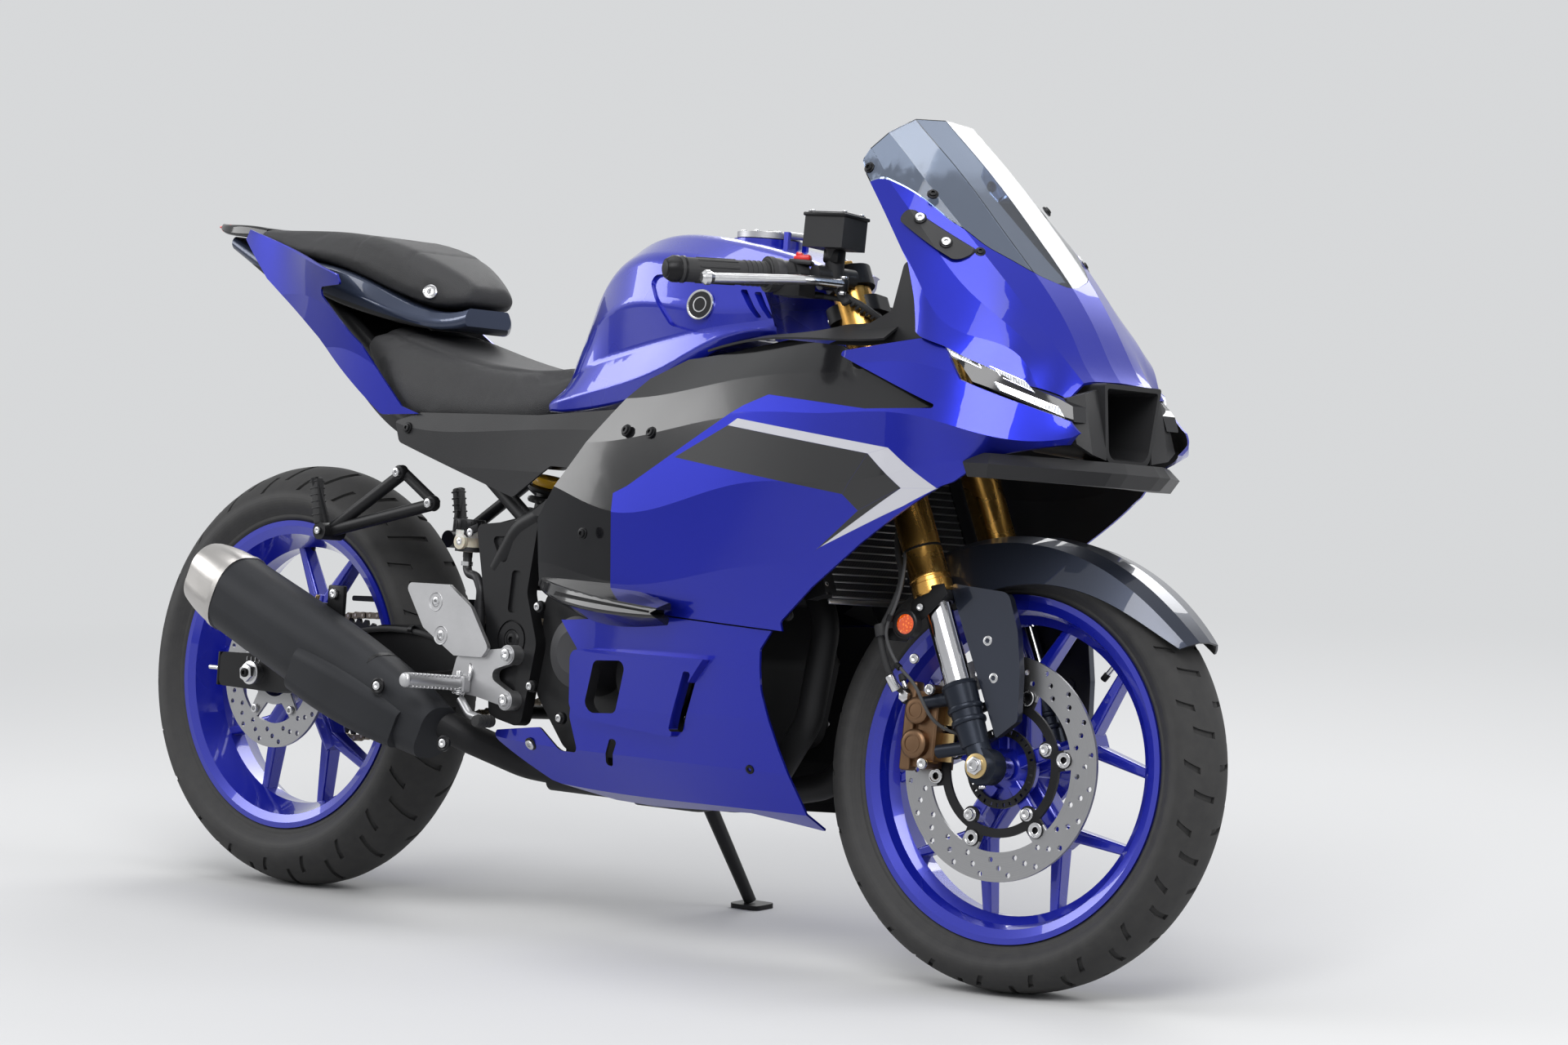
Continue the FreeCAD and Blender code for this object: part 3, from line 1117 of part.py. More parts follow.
# ---------------------------------------------------------------- side stand and fuel cap
STAND_PIVOT = V(-70, 138, 262)            # where the stand's tilted pin leaves its lug
STAND_AXIS = V(0.045, 0.93, 0.34)         # pin direction: the leg tucks in as it folds back
STAND_AXIS.normalize()
STAND_FOOT = (50.0, 88.0)                 # foot pad ahead of and outside the pivot, on the ground
CAP_X, CAP_TOP, CAP_R = 165.0, 984.0, 44.0
CAP_HINGE_X, CAP_HINGE_Z = CAP_X + CAP_R + 8, CAP_TOP + 7


def side_stand(place_point):
    """Stand leg drawn where it stands: from its pivot down and out to a foot pad flat on the ground."""
    inner, outer, pin_end = (place_point(STAND_PIVOT + STAND_AXIS * s) for s in (5.0, 26.0, -20.0))
    along = outer - inner
    pivot = (inner + outer) * 0.5
    foot = V(pivot.x + STAND_FOOT[0], pivot.y + STAND_FOOT[1], 0)
    toe = V(foot.x, foot.y, 9)
    leg = rod(tuple(pivot + (toe - pivot) * 0.05), tuple(toe), 12, 9)
    eye = Part.makeCylinder(18, along.Length, inner, along)
    pad = plate([(foot.x - 26, foot.y - 20, 10), (foot.x + 30, foot.y - 20, 10), (foot.x + 30, foot.y + 22, 10),
                 (foot.x - 26, foot.y + 22, 10)], 0, 7)
    pin = Part.makeCylinder(6 + AXLE_GAP, 90, pin_end, along)
    return without(fused(leg, eye, pad), pin)


def stand_bracket():
    """Lug on the left pivot plate with the stand's tilted pin."""
    x, z = STAND_PIVOT.x, STAND_PIVOT.z
    arm = slab([(x - 74, 318, 8), (x - 30, 318, 10), (x + 16, z + 6, 12), (x + 4, z - 18, 12), (x - 56, z + 16, 10)],
               118.5, 128)
    boss = Part.makeCylinder(16, 24, STAND_PIVOT - STAND_AXIS * 20, STAND_AXIS)
    pin = Part.makeCylinder(6, 32, STAND_PIVOT, STAND_AXIS)
    head = Part.makeCylinder(10, 4, STAND_PIVOT + STAND_AXIS * 28, STAND_AXIS)
    return fused(arm, boss, pin, head)


def fuel_cap():
    cap = Part.makeCylinder(CAP_R, 8, V(CAP_X, 0, CAP_TOP + 1.5))
    hinge = across(CAP_HINGE_X, CAP_HINGE_Z, 5, -16, 16)
    arm = block(CAP_HINGE_X - 18, CAP_HINGE_X, -12, 12, CAP_TOP + 2.5, CAP_TOP + 9.5)
    return without(fused(cap, hinge, arm), across(CAP_HINGE_X, CAP_HINGE_Z, 2.5 + AXLE_GAP, -17, 17))


def filler_neck():
    """Raised ring under the cap, and the cap's hinge pin between two lugs."""
    ring = Part.makeCylinder(CAP_R + 4, 24, V(CAP_X, 0, CAP_TOP - 24))
    lugs = [block(CAP_HINGE_X - 4, CAP_HINGE_X + 4, y0, y1, CAP_TOP - 24, CAP_HINGE_Z + 4)
            for y0, y1 in ((-22, -17), (17, 22))]
    return fused(ring, *lugs, across(CAP_HINGE_X, CAP_HINGE_Z, 2.5, -20, 20))


def cowl_trim():
    return Part.makeCompound([fused(*both) for both in zip(cockpit_panels().Solids, shelf_panels().Solids)]
                             + [mirror_plates()])


def rear_brake():
    return Part.makeCompound([rear_caliper(), fused(brake_reservoir_rear(), rear_master())])


def footrest_brackets():
    return Part.makeCompound([foot_brackets(), heel_guards()])


def rests_and_pedals():
    return Part.makeCompound([foot_pegs(), pedals()])


def controls():
    return Part.makeCompound([switch_pods(), brake_reservoir()])


def ducts_and_winglets():
    return Part.makeCompound([duct_panels(), winglets()])


def nose_ducting():
    """Intake, cheeks and chin moulded in one."""
    return fused(nose_duct(), without(fused(nose_chin(), *nose_cheeks().Solids), duct_bore()))


def undertail_panels():
    return fused(tail_centre(), undertail())


def mudguard():
    return fused(front_fender(), *fender_stays().Solids)


def silencer():
    return Part.makeCompound([muffler(), muffler_shield()])


# ---------------------------------------------------------------- assembly
CHASSIS = dict(frame=frame, subframe=subframe, engine=engine, engine_covers=engine_covers, radiator=radiator,
               exhaust_pipes=exhaust_pipes, muffler=silencer, muffler_tip=muffler_tip, swingarm=swingarm,
               rear_axle=rear_axle, rear_shock=rear_shock, rear_brake=rear_brake,
               footrest_brackets=footrest_brackets, foot_pegs=rests_and_pedals,
               passenger_hangers=passenger_hangers, upper_cowl=upper_cowl, windscreen=windscreen,
               tail_panels=tail_panels, side_covers=side_covers, side_fairings=side_fairings,
               duct_panels=ducts_and_winglets, lower_cowls=lower_cowls, fuel_tank=fuel_tank, rider_seat=rider_seat,
               pillion_seat=pillion_seat, undertail=undertail_panels, tail_light=tail_light,
               headlights=headlights, nose_duct=nose_ducting, cowl_trim=cowl_trim,
               instrument_panel=instrument_panel, drive_chain=drive_chain, fuel_cap=fuel_cap)
STEERING = dict(fork_outers=fork_outers, fork_inners=fork_inners, fork_feet=fork_feet, front_axle=front_axle,
                triple_clamps=triple_clamps, handlebars=handlebars, grips=grips, levers=levers,
                controls=controls, front_fender=mudguard, front_caliper=front_caliper, reflectors=reflectors,
                brake_hose=brake_hose)
FRONT_WHEEL_PARTS = dict(front_tyre=lambda: tyre(FRONT_WHEEL), front_rim=front_rim, front_disc=front_disc,
                         front_disc_carrier=front_disc_carrier, speed_ring=speed_ring)
REAR_WHEEL_PARTS = dict(rear_tyre=lambda: tyre(REAR_WHEEL), rear_rim=lambda: rim(REAR_WHEEL),
                        rear_disc=rear_disc, rear_sprocket=rear_sprocket)


# Pieces that are let into others of the same body: (piece that keeps its shape, pieces cut round it).
LET_IN = (
    ("engine", ("frame", "exhaust_pipes")),
    ("frame", ("subframe", "lower_cowls", "fuel_tank", "duct_panels")),
    ("subframe", ("fuel_tank", "rider_seat", "undertail", "tail_panels", "passenger_hangers")),
    ("exhaust_pipes", ("muffler",)),
    ("swingarm", ("rear_brake",)),
    ("footrest_brackets", ("foot_pegs",)),
    ("upper_cowl", ("nose_duct", "cowl_trim", "headlights")),
    ("side_fairings", ("nose_duct", "headlights", "duct_panels", "cowl_trim")),
    ("headlights", ("nose_duct",)),
    ("lower_cowls", ("duct_panels",)),
    ("fuel_tank", ("cowl_trim",)),
    ("duct_panels", ("cowl_trim",)),
    ("side_covers", ("duct_panels",)),
    ("tail_panels", ("pillion_seat", "undertail")),
    ("pillion_seat", ("undertail",)),
    ("fork_outers", ("controls", "front_fender", "reflectors")),
    ("fork_inners", ("fork_feet", "front_fender")),
    ("front_axle", ("fork_feet",)),
    ("front_rim", ("speed_ring",)),
    ("fork_feet", ("front_caliper", "front_fender")),
    ("front_caliper", ("brake_hose",)),
    ("controls", ("brake_hose",)),
    ("handlebars", ("controls",)),
    ("grips", ("controls",)),
    ("controls", ("levers",)),
)


def ground_height(tyre_shape):
    """Lowest point of a placed tyre and the X of its contact."""
    box = tyre_shape.optimalBoundingBox(False, False)
    return box.ZMin, (box.XMin + box.XMax) / 2


def parked_placement(front_tyre, rear_tyre, steer):
    """Lean onto the stand, then the small pitch and lift that put both tyres on the ground."""
    place = FreeCAD.Placement(ORIGIN, FreeCAD.Rotation(V(1, 0, 0), -LEAN))
    for _ in range(2):
        (front_z, front_x), (rear_z, rear_x) = (ground_height(moved(tyre_, place))
                                                for tyre_ in (moved(front_tyre, steer), rear_tyre))
        pitch = math.degrees(math.atan2(front_z - rear_z, front_x - rear_x))
        place = FreeCAD.Placement(ORIGIN, FreeCAD.Rotation(V(0, 1, 0), pitch)).multiply(place)
        place.move(V(0, 0, -ground_height(moved(rear_tyre, place))[0]))
    return place


def main():
    os.makedirs("parts", exist_ok=True)
    shapes = {}
    for table in (CHASSIS, REAR_WHEEL_PARTS, STEERING, FRONT_WHEEL_PARTS):
        for name, make in table.items():
            shapes[name] = make()
    for keeper, others in LET_IN:
        for name in others:
            shapes[name] = shapes[name].cut(shapes[keeper])
    steer = FreeCAD.Placement(ORIGIN, FreeCAD.Rotation(STEER_DIR, STEER), STEER_FOOT)
    place = parked_placement(shapes["front_tyre"], shapes["rear_tyre"], steer)
    for name in list(STEERING) + list(FRONT_WHEEL_PARTS):
        shapes[name] = moved(shapes[name], steer)
    shapes = {name: moved(shape, place) for name, shape in shapes.items()}
    shapes["side_stand"] = side_stand(place.multVec)
    boxes = [shape.optimalBoundingBox(False, False) for shape in shapes.values()]
    centre = V(-(min(b.XMin for b in boxes) + max(b.XMax for b in boxes)) / 2,
               -(min(b.YMin for b in boxes) + max(b.YMax for b in boxes)) / 2, 0)
    for name, shape in shapes.items():
        shape.translate(centre)
        shape.exportStep(f"parts/{name}.step")
    return place, centre


def moved(shape, placement):
    """A copy of the shape carried by a placement."""
    out = shape.copy()
    out.Placement = placement.multiply(out.Placement)
    return out


main()
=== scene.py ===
"""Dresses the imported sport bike: finishes, trim, soft seats, and the stage it stands on."""
import bmesh
import bpy
import json
import math
from mathutils import Matrix, Vector


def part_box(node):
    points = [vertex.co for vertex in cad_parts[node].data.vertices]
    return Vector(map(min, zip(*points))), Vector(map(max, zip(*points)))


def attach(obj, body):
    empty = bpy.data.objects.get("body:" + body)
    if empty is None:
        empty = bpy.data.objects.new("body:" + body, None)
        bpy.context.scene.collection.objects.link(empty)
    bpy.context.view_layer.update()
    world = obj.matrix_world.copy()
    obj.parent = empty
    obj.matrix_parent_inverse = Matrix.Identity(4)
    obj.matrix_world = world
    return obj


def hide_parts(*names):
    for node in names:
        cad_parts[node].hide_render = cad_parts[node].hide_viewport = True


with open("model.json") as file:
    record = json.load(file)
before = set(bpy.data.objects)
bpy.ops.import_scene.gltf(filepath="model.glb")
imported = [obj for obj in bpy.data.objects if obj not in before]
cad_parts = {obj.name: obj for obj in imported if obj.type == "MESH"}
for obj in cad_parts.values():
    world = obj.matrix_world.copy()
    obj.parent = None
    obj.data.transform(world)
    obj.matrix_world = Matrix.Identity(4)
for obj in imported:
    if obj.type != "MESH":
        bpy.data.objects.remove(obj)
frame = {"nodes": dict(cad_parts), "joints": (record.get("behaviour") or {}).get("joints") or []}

bl_info = {
    "name": "Sport Bike Dressing",
    "version": (1, 0, 0),
    "blender": (4, 5, 0),
    "location": "View3D > Sidebar > Sport Bike",
    "description": "Finishes and trims a packed sport bike and sets the studio it stands in",
    "category": "Object",
}

# ------------------------------------------------------------------ the bike's own axes
MM = 0.001
RAKE = math.radians(25.0)
STEM_FOOT = 785.0
LEG_X, LEG_Z = 585.0, 504.0
REAR_AXLE = Vector((-690.0, 0.0, 314.0))
FRONT_AXLE = Vector((690.0, 0.0, 293.0))
PIVOT = Vector((-142.0, 0.0, 402.0))
FORK_Y = 98.0


def joint(name):
    """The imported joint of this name."""
    return next(j for j in frame["joints"] if j["name"] == name)


def bike_axes():
    """Matrices from the upright bike's millimetres to the row: one for the chassis, one for the front end."""
    across = Vector(joint("rear_wheel_spin")["axis"]).normalized()
    steer = Vector(joint("steering")["axis"]).normalized()
    side = steer.cross(across)
    ahead = -math.sin(RAKE) * steer - math.cos(RAKE) * side
    up = math.cos(RAKE) * steer - math.sin(RAKE) * side
    turn = Matrix((ahead, across, up)).transposed()
    origin = Vector(joint("rear_wheel_spin")["pos_m"]) - turn @ (REAR_AXLE * MM)
    chassis = Matrix.Translation(origin) @ turn.to_4x4() @ Matrix.Scale(MM, 4)
    turned = Vector(joint("front_wheel_spin")["axis"]).normalized()
    angle = math.atan2(across.cross(turned).dot(steer), across.dot(turned))
    foot = Vector(joint("steering")["pos_m"])
    swing = Matrix.Translation(foot) @ Matrix.Rotation(angle, 4, steer) @ Matrix.Translation(-foot)
    return chassis, swing @ chassis


CHASSIS, FRONT = bike_axes()
PLACES = {"chassis": CHASSIS, "rear_wheel": CHASSIS, "side_stand": CHASSIS, "fuel_cap": CHASSIS,
          "steering": FRONT, "front_wheel": FRONT}


# ------------------------------------------------------------------ shader expressions
class Signal:
    """One socket of a material, with arithmetic written as Python."""

    def __init__(self, graph, socket):
        self.graph, self.socket = graph, socket

    def math(self, operation, *others):
        return self.graph.node("ShaderNodeMath", {"operation": operation}, self, *others)

    def __add__(self, other):
        return self.math("ADD", other)

    __radd__ = __add__

    def __sub__(self, other):
        return self.math("SUBTRACT", other)

    def __rsub__(self, other):
        return self.graph.node("ShaderNodeMath", {"operation": "SUBTRACT"}, other, self)

    def __mul__(self, other):
        return self.math("MULTIPLY", other)

    __rmul__ = __mul__

    def __truediv__(self, other):
        return self.math("DIVIDE", other)

    def above(self, edge, soft=0.0005):
        """1 where the value is over the edge, 0 under it, with a short ramp between."""
        return ((self - edge) / soft + 0.5).math("MAXIMUM", 0.0).math("MINIMUM", 1.0)

    def below(self, edge, soft=0.0005):
        return 1 - self.above(edge, soft)


class Finish:
    """A node material under construction."""

    def __init__(self, name):
        self.material = bpy.data.materials.get(name) or bpy.data.materials.new(name)
        self.material.use_nodes = True
        self.tree = self.material.node_tree
        self.tree.nodes.clear()
        self.shader = self.tree.nodes.new("ShaderNodeBsdfPrincipled")
        output = self.tree.nodes.new("ShaderNodeOutputMaterial")
        self.tree.links.new(self.shader.outputs["BSDF"], output.inputs["Surface"])

    def node(self, kind, settings, *values, out=0, **named):
        """Adds a node: its settings first, then its input values or links, and returns one output."""
        made = self.tree.nodes.new(kind)
        for key, value in settings.items():
            if key == "stops":
                ramp = made.color_ramp
                while len(ramp.elements) < len(value):
                    ramp.elements.new(0.5)
                for element, (place, colour) in zip(ramp.elements, value):
                    element.position, element.color = place, colour
            else:
                setattr(made, key, value)
        for key, value in list(enumerate(values)) + [(k.replace("_", " "), v) for k, v in named.items()]:
            self.feed(made.inputs[key], value)
        return Signal(self, made.outputs[out])

    def feed(self, socket, value):
        if isinstance(value, Signal):
            self.tree.links.new(value.socket, socket)
        else:
            socket.default_value = value

    def set(self, **inputs):
        for key, value in inputs.items():
            self.feed(self.shader.inputs[key.replace("_", " ")], value)
        return self

    def place(self):
        return self.node("ShaderNodeTexCoord", {}, out="Object")

    def along(self, axes, axis):
        """Distance in millimetres along one of the bike's own axes (0 ahead, 1 left, 2 up)."""
        inverse = axes.inverted()
        row = Vector(inverse[axis][:3])
        dot = self.node("ShaderNodeVectorMath", {"operation": "DOT_PRODUCT"}, self.place(), row, out="Value")
        return dot + inverse[axis][3]

    def radius(self, axes, centre):
        """Distance from a wheel's axle in millimetres."""
        x = self.along(axes, 0) - centre.x
        z = self.along(axes, 2) - centre.z
        return (x * x + z * z).math("SQRT")

    def facing(self, axes, axis):
        """How squarely the surface faces one of the bike's own axes, from -1 to 1."""
        normal = self.node("ShaderNodeTexCoord", {}, out="Normal")
        return self.node("ShaderNodeVectorMath", {"operation": "DOT_PRODUCT"}, normal,
                         axes.to_3x3().col[axis].normalized(), out="Value")

    def hidden(self, axes, centre):
        """1 where the surface faces a point within the bike, as the inner side of a panel does."""
        away = [self.facing(axes, axis) * (self.along(axes, axis) - centre[axis]) for axis in range(3)]
        return (away[0] + away[1] + away[2]).below(0.0, 4.0)

    def noise(self, scale, detail=2.0, roughness=0.5, vector=None):
        return self.node("ShaderNodeTexNoise", {}, Vector=vector or self.place(), Scale=scale, Detail=detail,
                         Roughness=roughness, out="Fac")

    def mix(self, factor, first, second):
        """Colour mix: first where the factor is 0, second where it is 1."""
        made = self.tree.nodes.new("ShaderNodeMix")
        made.data_type = "RGBA"
        self.feed(made.inputs["Factor"], factor)
        sockets = [s for s in made.inputs if s.type == "RGBA"]
        self.feed(sockets[0], first)
        self.feed(sockets[1], second)
        return Signal(self, next(s for s in made.outputs if s.type == "RGBA"))

    def bump(self, height, strength, distance):
        made = self.node("ShaderNodeBump", {}, Height=height, Strength=strength, Distance=distance)
        return self.set(Normal=made)


# ------------------------------------------------------------------ mesh tools, in millimetres
def aim(place, direction=(0, 0, 1), roll=0.0):
    """Matrix that stands a part's own Z along a direction at a place."""
    turn = Vector(direction).to_track_quat("Z", "Y").to_matrix().to_4x4()
    return Matrix.Translation(place) @ turn @ Matrix.Rotation(math.radians(roll), 4, "Z")


def round_edges(bm, edges, width, segments=2):
    """Rounds these edges by a width."""
    bmesh.ops.bevel(bm, geom=edges, offset=width, offset_type="OFFSET", segments=segments, profile=0.5,
                    affect="EDGES", clamp_overlap=True, material=-1)


def corners(bm, least=0.6):
    """Edges where the surface turns by more than this many radians."""
    return [e for e in bm.edges if len(e.link_faces) == 2 and e.calc_face_angle() > least]


def drum(r, height, r_top=None, soft=0.0, sides=32):
    """Round bar standing on Z = 0, its rims rounded by soft."""
    bm = bmesh.new()
    bmesh.ops.create_cone(bm, cap_ends=True, cap_tris=False, segments=sides, radius1=r,
                          radius2=r if r_top is None else r_top, depth=height)
    bmesh.ops.translate(bm, verts=bm.verts, vec=(0, 0, height / 2))
    if soft:
        round_edges(bm, corners(bm), soft)
    return bm


def hoop(rows, sides=48):
    """Turned part about Z from (radius, height) rows; rows that start off the axis close on themselves."""
    bm = bmesh.new()
    verts = [bm.verts.new((r, 0, h)) for r, h in rows]
    line = verts + verts[:1] if rows[0][0] > 0 else verts
    edges = [bm.edges.new(both) for both in zip(line, line[1:])]
    bmesh.ops.spin(bm, geom=verts + edges, axis=(0, 0, 1), cent=(0, 0, 0), angle=2 * math.pi, steps=sides,
                   use_merge=True, use_duplicate=False)
    bmesh.ops.remove_doubles(bm, verts=bm.verts, dist=0.001)
    return bm


def box(x, y, z, soft=1.0, segments=2):
    """Block of these lengths about its middle, every edge rounded."""
    bm = bmesh.new()
    bmesh.ops.create_cube(bm, size=1.0)
    bmesh.ops.scale(bm, verts=bm.verts, vec=(x, y, z))
    if soft:
        round_edges(bm, bm.edges[:], soft, segments)
    return bm


def sheet(rows, thick, soft=0.0):
    """Flat outline of (x, y) rows on Z = 0, given thickness upwards."""
    bm = bmesh.new()
    face = bm.faces.new([bm.verts.new((x, y, 0)) for x, y in rows])
    raised = bmesh.ops.extrude_face_region(bm, geom=[face])["geom"]
    bmesh.ops.translate(bm, verts=[g for g in raised if isinstance(g, bmesh.types.BMVert)], vec=(0, 0, thick))
    bmesh.ops.recalc_face_normals(bm, faces=bm.faces)
    if soft:
        round_edges(bm, corners(bm, 1.2), soft)
    return bm


def skin(rings, ends=True):
    """Surface bridged over closed rings of points, its two ends closed."""
    bm = bmesh.new()
    loops = []
    for ring in rings:
        verts = [bm.verts.new(p) for p in ring]
        loops.append((verts, [bm.edges.new(both) for both in zip(verts, verts[1:] + verts[:1])]))
    for (_, first), (_, second) in zip(loops, loops[1:]):
        bmesh.ops.bridge_loops(bm, edges=first + second)
    if ends:
        for verts in (loops[0][0], loops[-1][0]):
            bm.faces.new(verts)
    return bm


def bolt(r, height=4.0, socket=0.52):
    """Round screw head with a hexagon socket."""
    bm = drum(r, height, soft=height * 0.3, sides=24)
    top = max(bm.faces, key=lambda face: face.calc_center_median().z)
    bmesh.ops.inset_region(bm, faces=[top], thickness=r * 0.3)
    for vert in top.verts:
        turn = math.atan2(vert.co.y, vert.co.x)
        reach = r * socket * math.cos(math.pi / 6) / math.cos(turn % (math.pi / 3) - math.pi / 6)
        vert.co.x, vert.co.y = reach * math.cos(turn), reach * math.sin(turn)
    bmesh.ops.inset_region(bm, faces=[top], thickness=0.1, depth=-height * 0.6)
    return bm


def nut(r, height, soft=0.8):
    """Six-sided head."""
    return drum(r, height, soft=soft, sides=6)


def line(points, order=3):
    """Smooth open curve object with these points as its control points."""
    data = bpy.data.curves.new("run", "CURVE")
    data.dimensions = "3D"
    data.resolution_u = 8
    spline = data.splines.new("NURBS")
    spline.points.add(len(points) - 1)
    for held, point in zip(spline.points, points):
        held.co = (*point, 1.0)
    spline.order_u = order
    spline.use_endpoint_u = True
    return data


def pipe(points, r, order=3, around=3):
    """Round bar along a smooth line through the run of control points."""
    data = line(points, order)
    data.bevel_depth, data.bevel_resolution, data.use_fill_caps = r, around, True
    holder = bpy.data.objects.new("run", data)
    mesh = bpy.data.meshes.new_from_object(holder)
    bm = bmesh.new()
    bm.from_mesh(mesh)
    bmesh.ops.remove_doubles(bm, verts=bm.verts, dist=0.01)
    bpy.data.objects.remove(holder)
    bpy.data.curves.remove(data)
    bpy.data.meshes.remove(mesh)
    return bm


def spring(low, high, r, wire, turns):
    """Coil of round wire between two points."""
    axis = Vector(high) - Vector(low)
    at = aim(low, axis)
    count = turns * 12
    points = [at @ Vector((r * math.cos(i * math.pi / 6), r * math.sin(i * math.pi / 6),
                           axis.length * i / count))
              for i in range(count + 1)]
    return pipe(points, wire, around=2)


class Piece:
    """One dressed piece, gathered from parts in the upright bike's millimetres."""

    def __init__(self, name, body, *materials):
        self.name, self.body, self.materials, self.mesh = name, body, materials, bmesh.new()

    def add(self, part, at=Matrix(), slot=0):
        """Takes in a part, turned and moved, in one of the piece's materials."""
        part.transform(at)
        for face in part.faces:
            face.material_index, face.smooth = slot, True
        held = bpy.data.meshes.new("held")
        part.to_mesh(held)
        part.free()
        self.mesh.from_mesh(held)
        bpy.data.meshes.remove(held)

    def done(self, *stands_for, sharp=38.0):
        """Puts the piece on its body in the row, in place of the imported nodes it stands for."""
        bmesh.ops.recalc_face_normals(self.mesh, faces=self.mesh.faces)
        self.mesh.transform(PLACES[self.body])
        mesh = bpy.data.meshes.new(self.name)
        self.mesh.to_mesh(mesh)
        self.mesh.free()
        for material in self.materials:
            mesh.materials.append(material)
        mesh.set_sharp_from_angle(angle=math.radians(sharp))
        made = bpy.data.objects.new(self.name, mesh)
        bpy.context.scene.collection.objects.link(made)
        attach(made, self.body)
        if stands_for:
            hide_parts(*stands_for)
        return made


def spot(centre, radius, degrees, y):
    """Point at a radius and angle from a wheel's centre, this far to the left."""
    t = math.radians(degrees)
    return Vector((centre.x + radius * math.cos(t), y, centre.z + radius * math.sin(t)))


def beside(axle, y):
    """Point in line with an axle, this far to the left."""
    return Vector((axle.x, y, axle.z))


def on_leg(z, y, ahead=0.0):
    """Point at height z on a fork leg's line, or ahead of it square to the leg."""
    return Vector((LEG_X - (z - LEG_Z) * math.tan(RAKE) + ahead * math.cos(RAKE), y,
                   z + ahead * math.sin(RAKE)))


LEG_UP = Vector((-math.sin(RAKE), 0.0, math.cos(RAKE)))
OUT = {-1: Vector((0, -1, 0)), 1: Vector((0, 1, 0))}


# ------------------------------------------------------------------ finishes
def rgba(colour):
    """Colour with full alpha."""
    return (*colour[:3], 1.0)


def gloss_paint(name, colour, flake=0.35):
    """Metallic body paint under clear lacquer, with a fine flake and a little orange peel."""
    f = Finish(name)
    flakes = f.noise(2600.0, 1.0)
    deep = [c * 0.72 for c in colour]
    f.set(Base_Color=f.mix(flakes, rgba(deep), rgba([min(1.0, c * 1.35) for c in colour])), Metallic=flake,
          Roughness=0.24 + f.noise(9.0) * 0.08, Coat_Weight=1.0, Coat_Roughness=0.03)
    return f.bump(f.noise(160.0, 2.0), 0.03, 0.0006).material


def inside(x, z, corners):
    """1 within a convex outline of (x, z) corners run anticlockwise, 0 outside it."""
    mask = 1
    for (x0, z0), (x1, z1) in zip(corners, corners[1:] + corners[:1]):
        run = math.hypot(x1 - x0, z1 - z0)
        side = z * ((x1 - x0) / run) - x * ((z1 - z0) / run)
        mask = side.above((z0 * (x1 - x0) - x0 * (z1 - z0)) / run, 0.6) * mask
    return mask


def body_paint(name, colour, centre, bands=(), axes=None):
    """Metallic paint under clear lacquer, with printed bands on its sides and a black unpainted inner side."""
    f, axes = Finish(name), axes or CHASSIS
    flakes = f.noise(2600.0, 1.0)
    inner = f.hidden(axes, centre)
    paint = f.mix(flakes, rgba([c * 0.78 for c in colour]), rgba([min(1.0, c * 1.25) for c in colour]))
    metal = 1 - inner
    if bands:
        x, z = f.along(axes, 0), f.along(axes, 2)
        for tint, corners in bands:
            mask = inside(x, z, corners)
            paint, metal = f.mix(mask, paint, rgba(tint)), metal * (1 - mask)
    f.set(Base_Color=f.mix(inner, paint, (0.010, 0.010, 0.011, 1.0)), Metallic=metal * 0.75,
          Roughness=0.30 + inner * 0.3 + f.noise(9.0) * 0.05, Specular_IOR_Level=0.25,
          Coat_Weight=(1 - inner) * 0.7, Coat_Roughness=0.02)
    return f.bump(f.noise(140.0, 2.0), 0.02, 0.0005).material


def moulded_plastic(name, colour, roughness=0.55, grain=900.0):
    """Moulded plastic with a fine spark-eroded grain and slight handling shine."""
    f = Finish(name)
    wear = f.noise(7.0, 3.0)
    f.set(Base_Color=f.mix(wear, rgba(colour), rgba([c * 1.45 + 0.002 for c in colour])),
          Roughness=roughness - wear * 0.12,
          Specular_IOR_Level=0.3)
    return f.bump(f.noise(grain, 2.0), 0.22, 0.0005).material


def gloss_plastic(name, colour, roughness=0.1):
    """Polished plastic whose shine varies a little, with slight ripples."""
    f = Finish(name)
    f.set(Base_Color=rgba(colour), Roughness=roughness + f.noise(11.0) * 0.05, Specular_IOR_Level=0.4,
          Coat_Weight=0.2, Coat_Roughness=0.04)
    return f.bump(f.noise(120.0), 0.02, 0.0006).material


def coated_metal(name, colour, roughness=0.38, metallic=0.35, grain=420.0):
    """Powder coat over metal with a slight texture."""
    f = Finish(name)
    tone = f.noise(14.0, 3.0)
    f.set(Base_Color=f.mix(tone, rgba([c * 0.8 for c in colour]), rgba([c * 1.3 for c in colour])),
          Metallic=metallic, Roughness=roughness + tone * 0.1, Specular_IOR_Level=0.3)
    return f.bump(f.noise(grain, 2.0), 0.12, 0.0004).material


def bare_metal(name, colour, roughness=0.3, grain=300.0, depth=0.08):
    """Cast or machined metal, its tone and shine varying a little."""
    f = Finish(name)
    tone = f.noise(22.0, 4.0)
    f.set(Base_Color=f.mix(tone, rgba([c * 0.82 for c in colour]), rgba(colour)), Metallic=1.0,
          Roughness=roughness - 0.06 + tone * 0.14)
    return f.bump(f.noise(grain, 3.0), depth, 0.0004).material


def turned_metal(name, colour, axes, centre, roughness=0.28):
    """Steel ground in circles round an axle."""
    f = Finish(name)
    radius = f.radius(axes, centre)
    rings = f.node("ShaderNodeTexNoise", {"noise_dimensions": "1D"}, W=radius * 1.3, Scale=1.0,
                   Detail=3.0, out="Fac")
    f.set(Base_Color=f.mix(rings, rgba([c * 0.7 for c in colour]), rgba(colour)), Metallic=1.0,
          Roughness=roughness + rings * 0.16)
    return f.bump(rings, 0.15, 0.0004).material


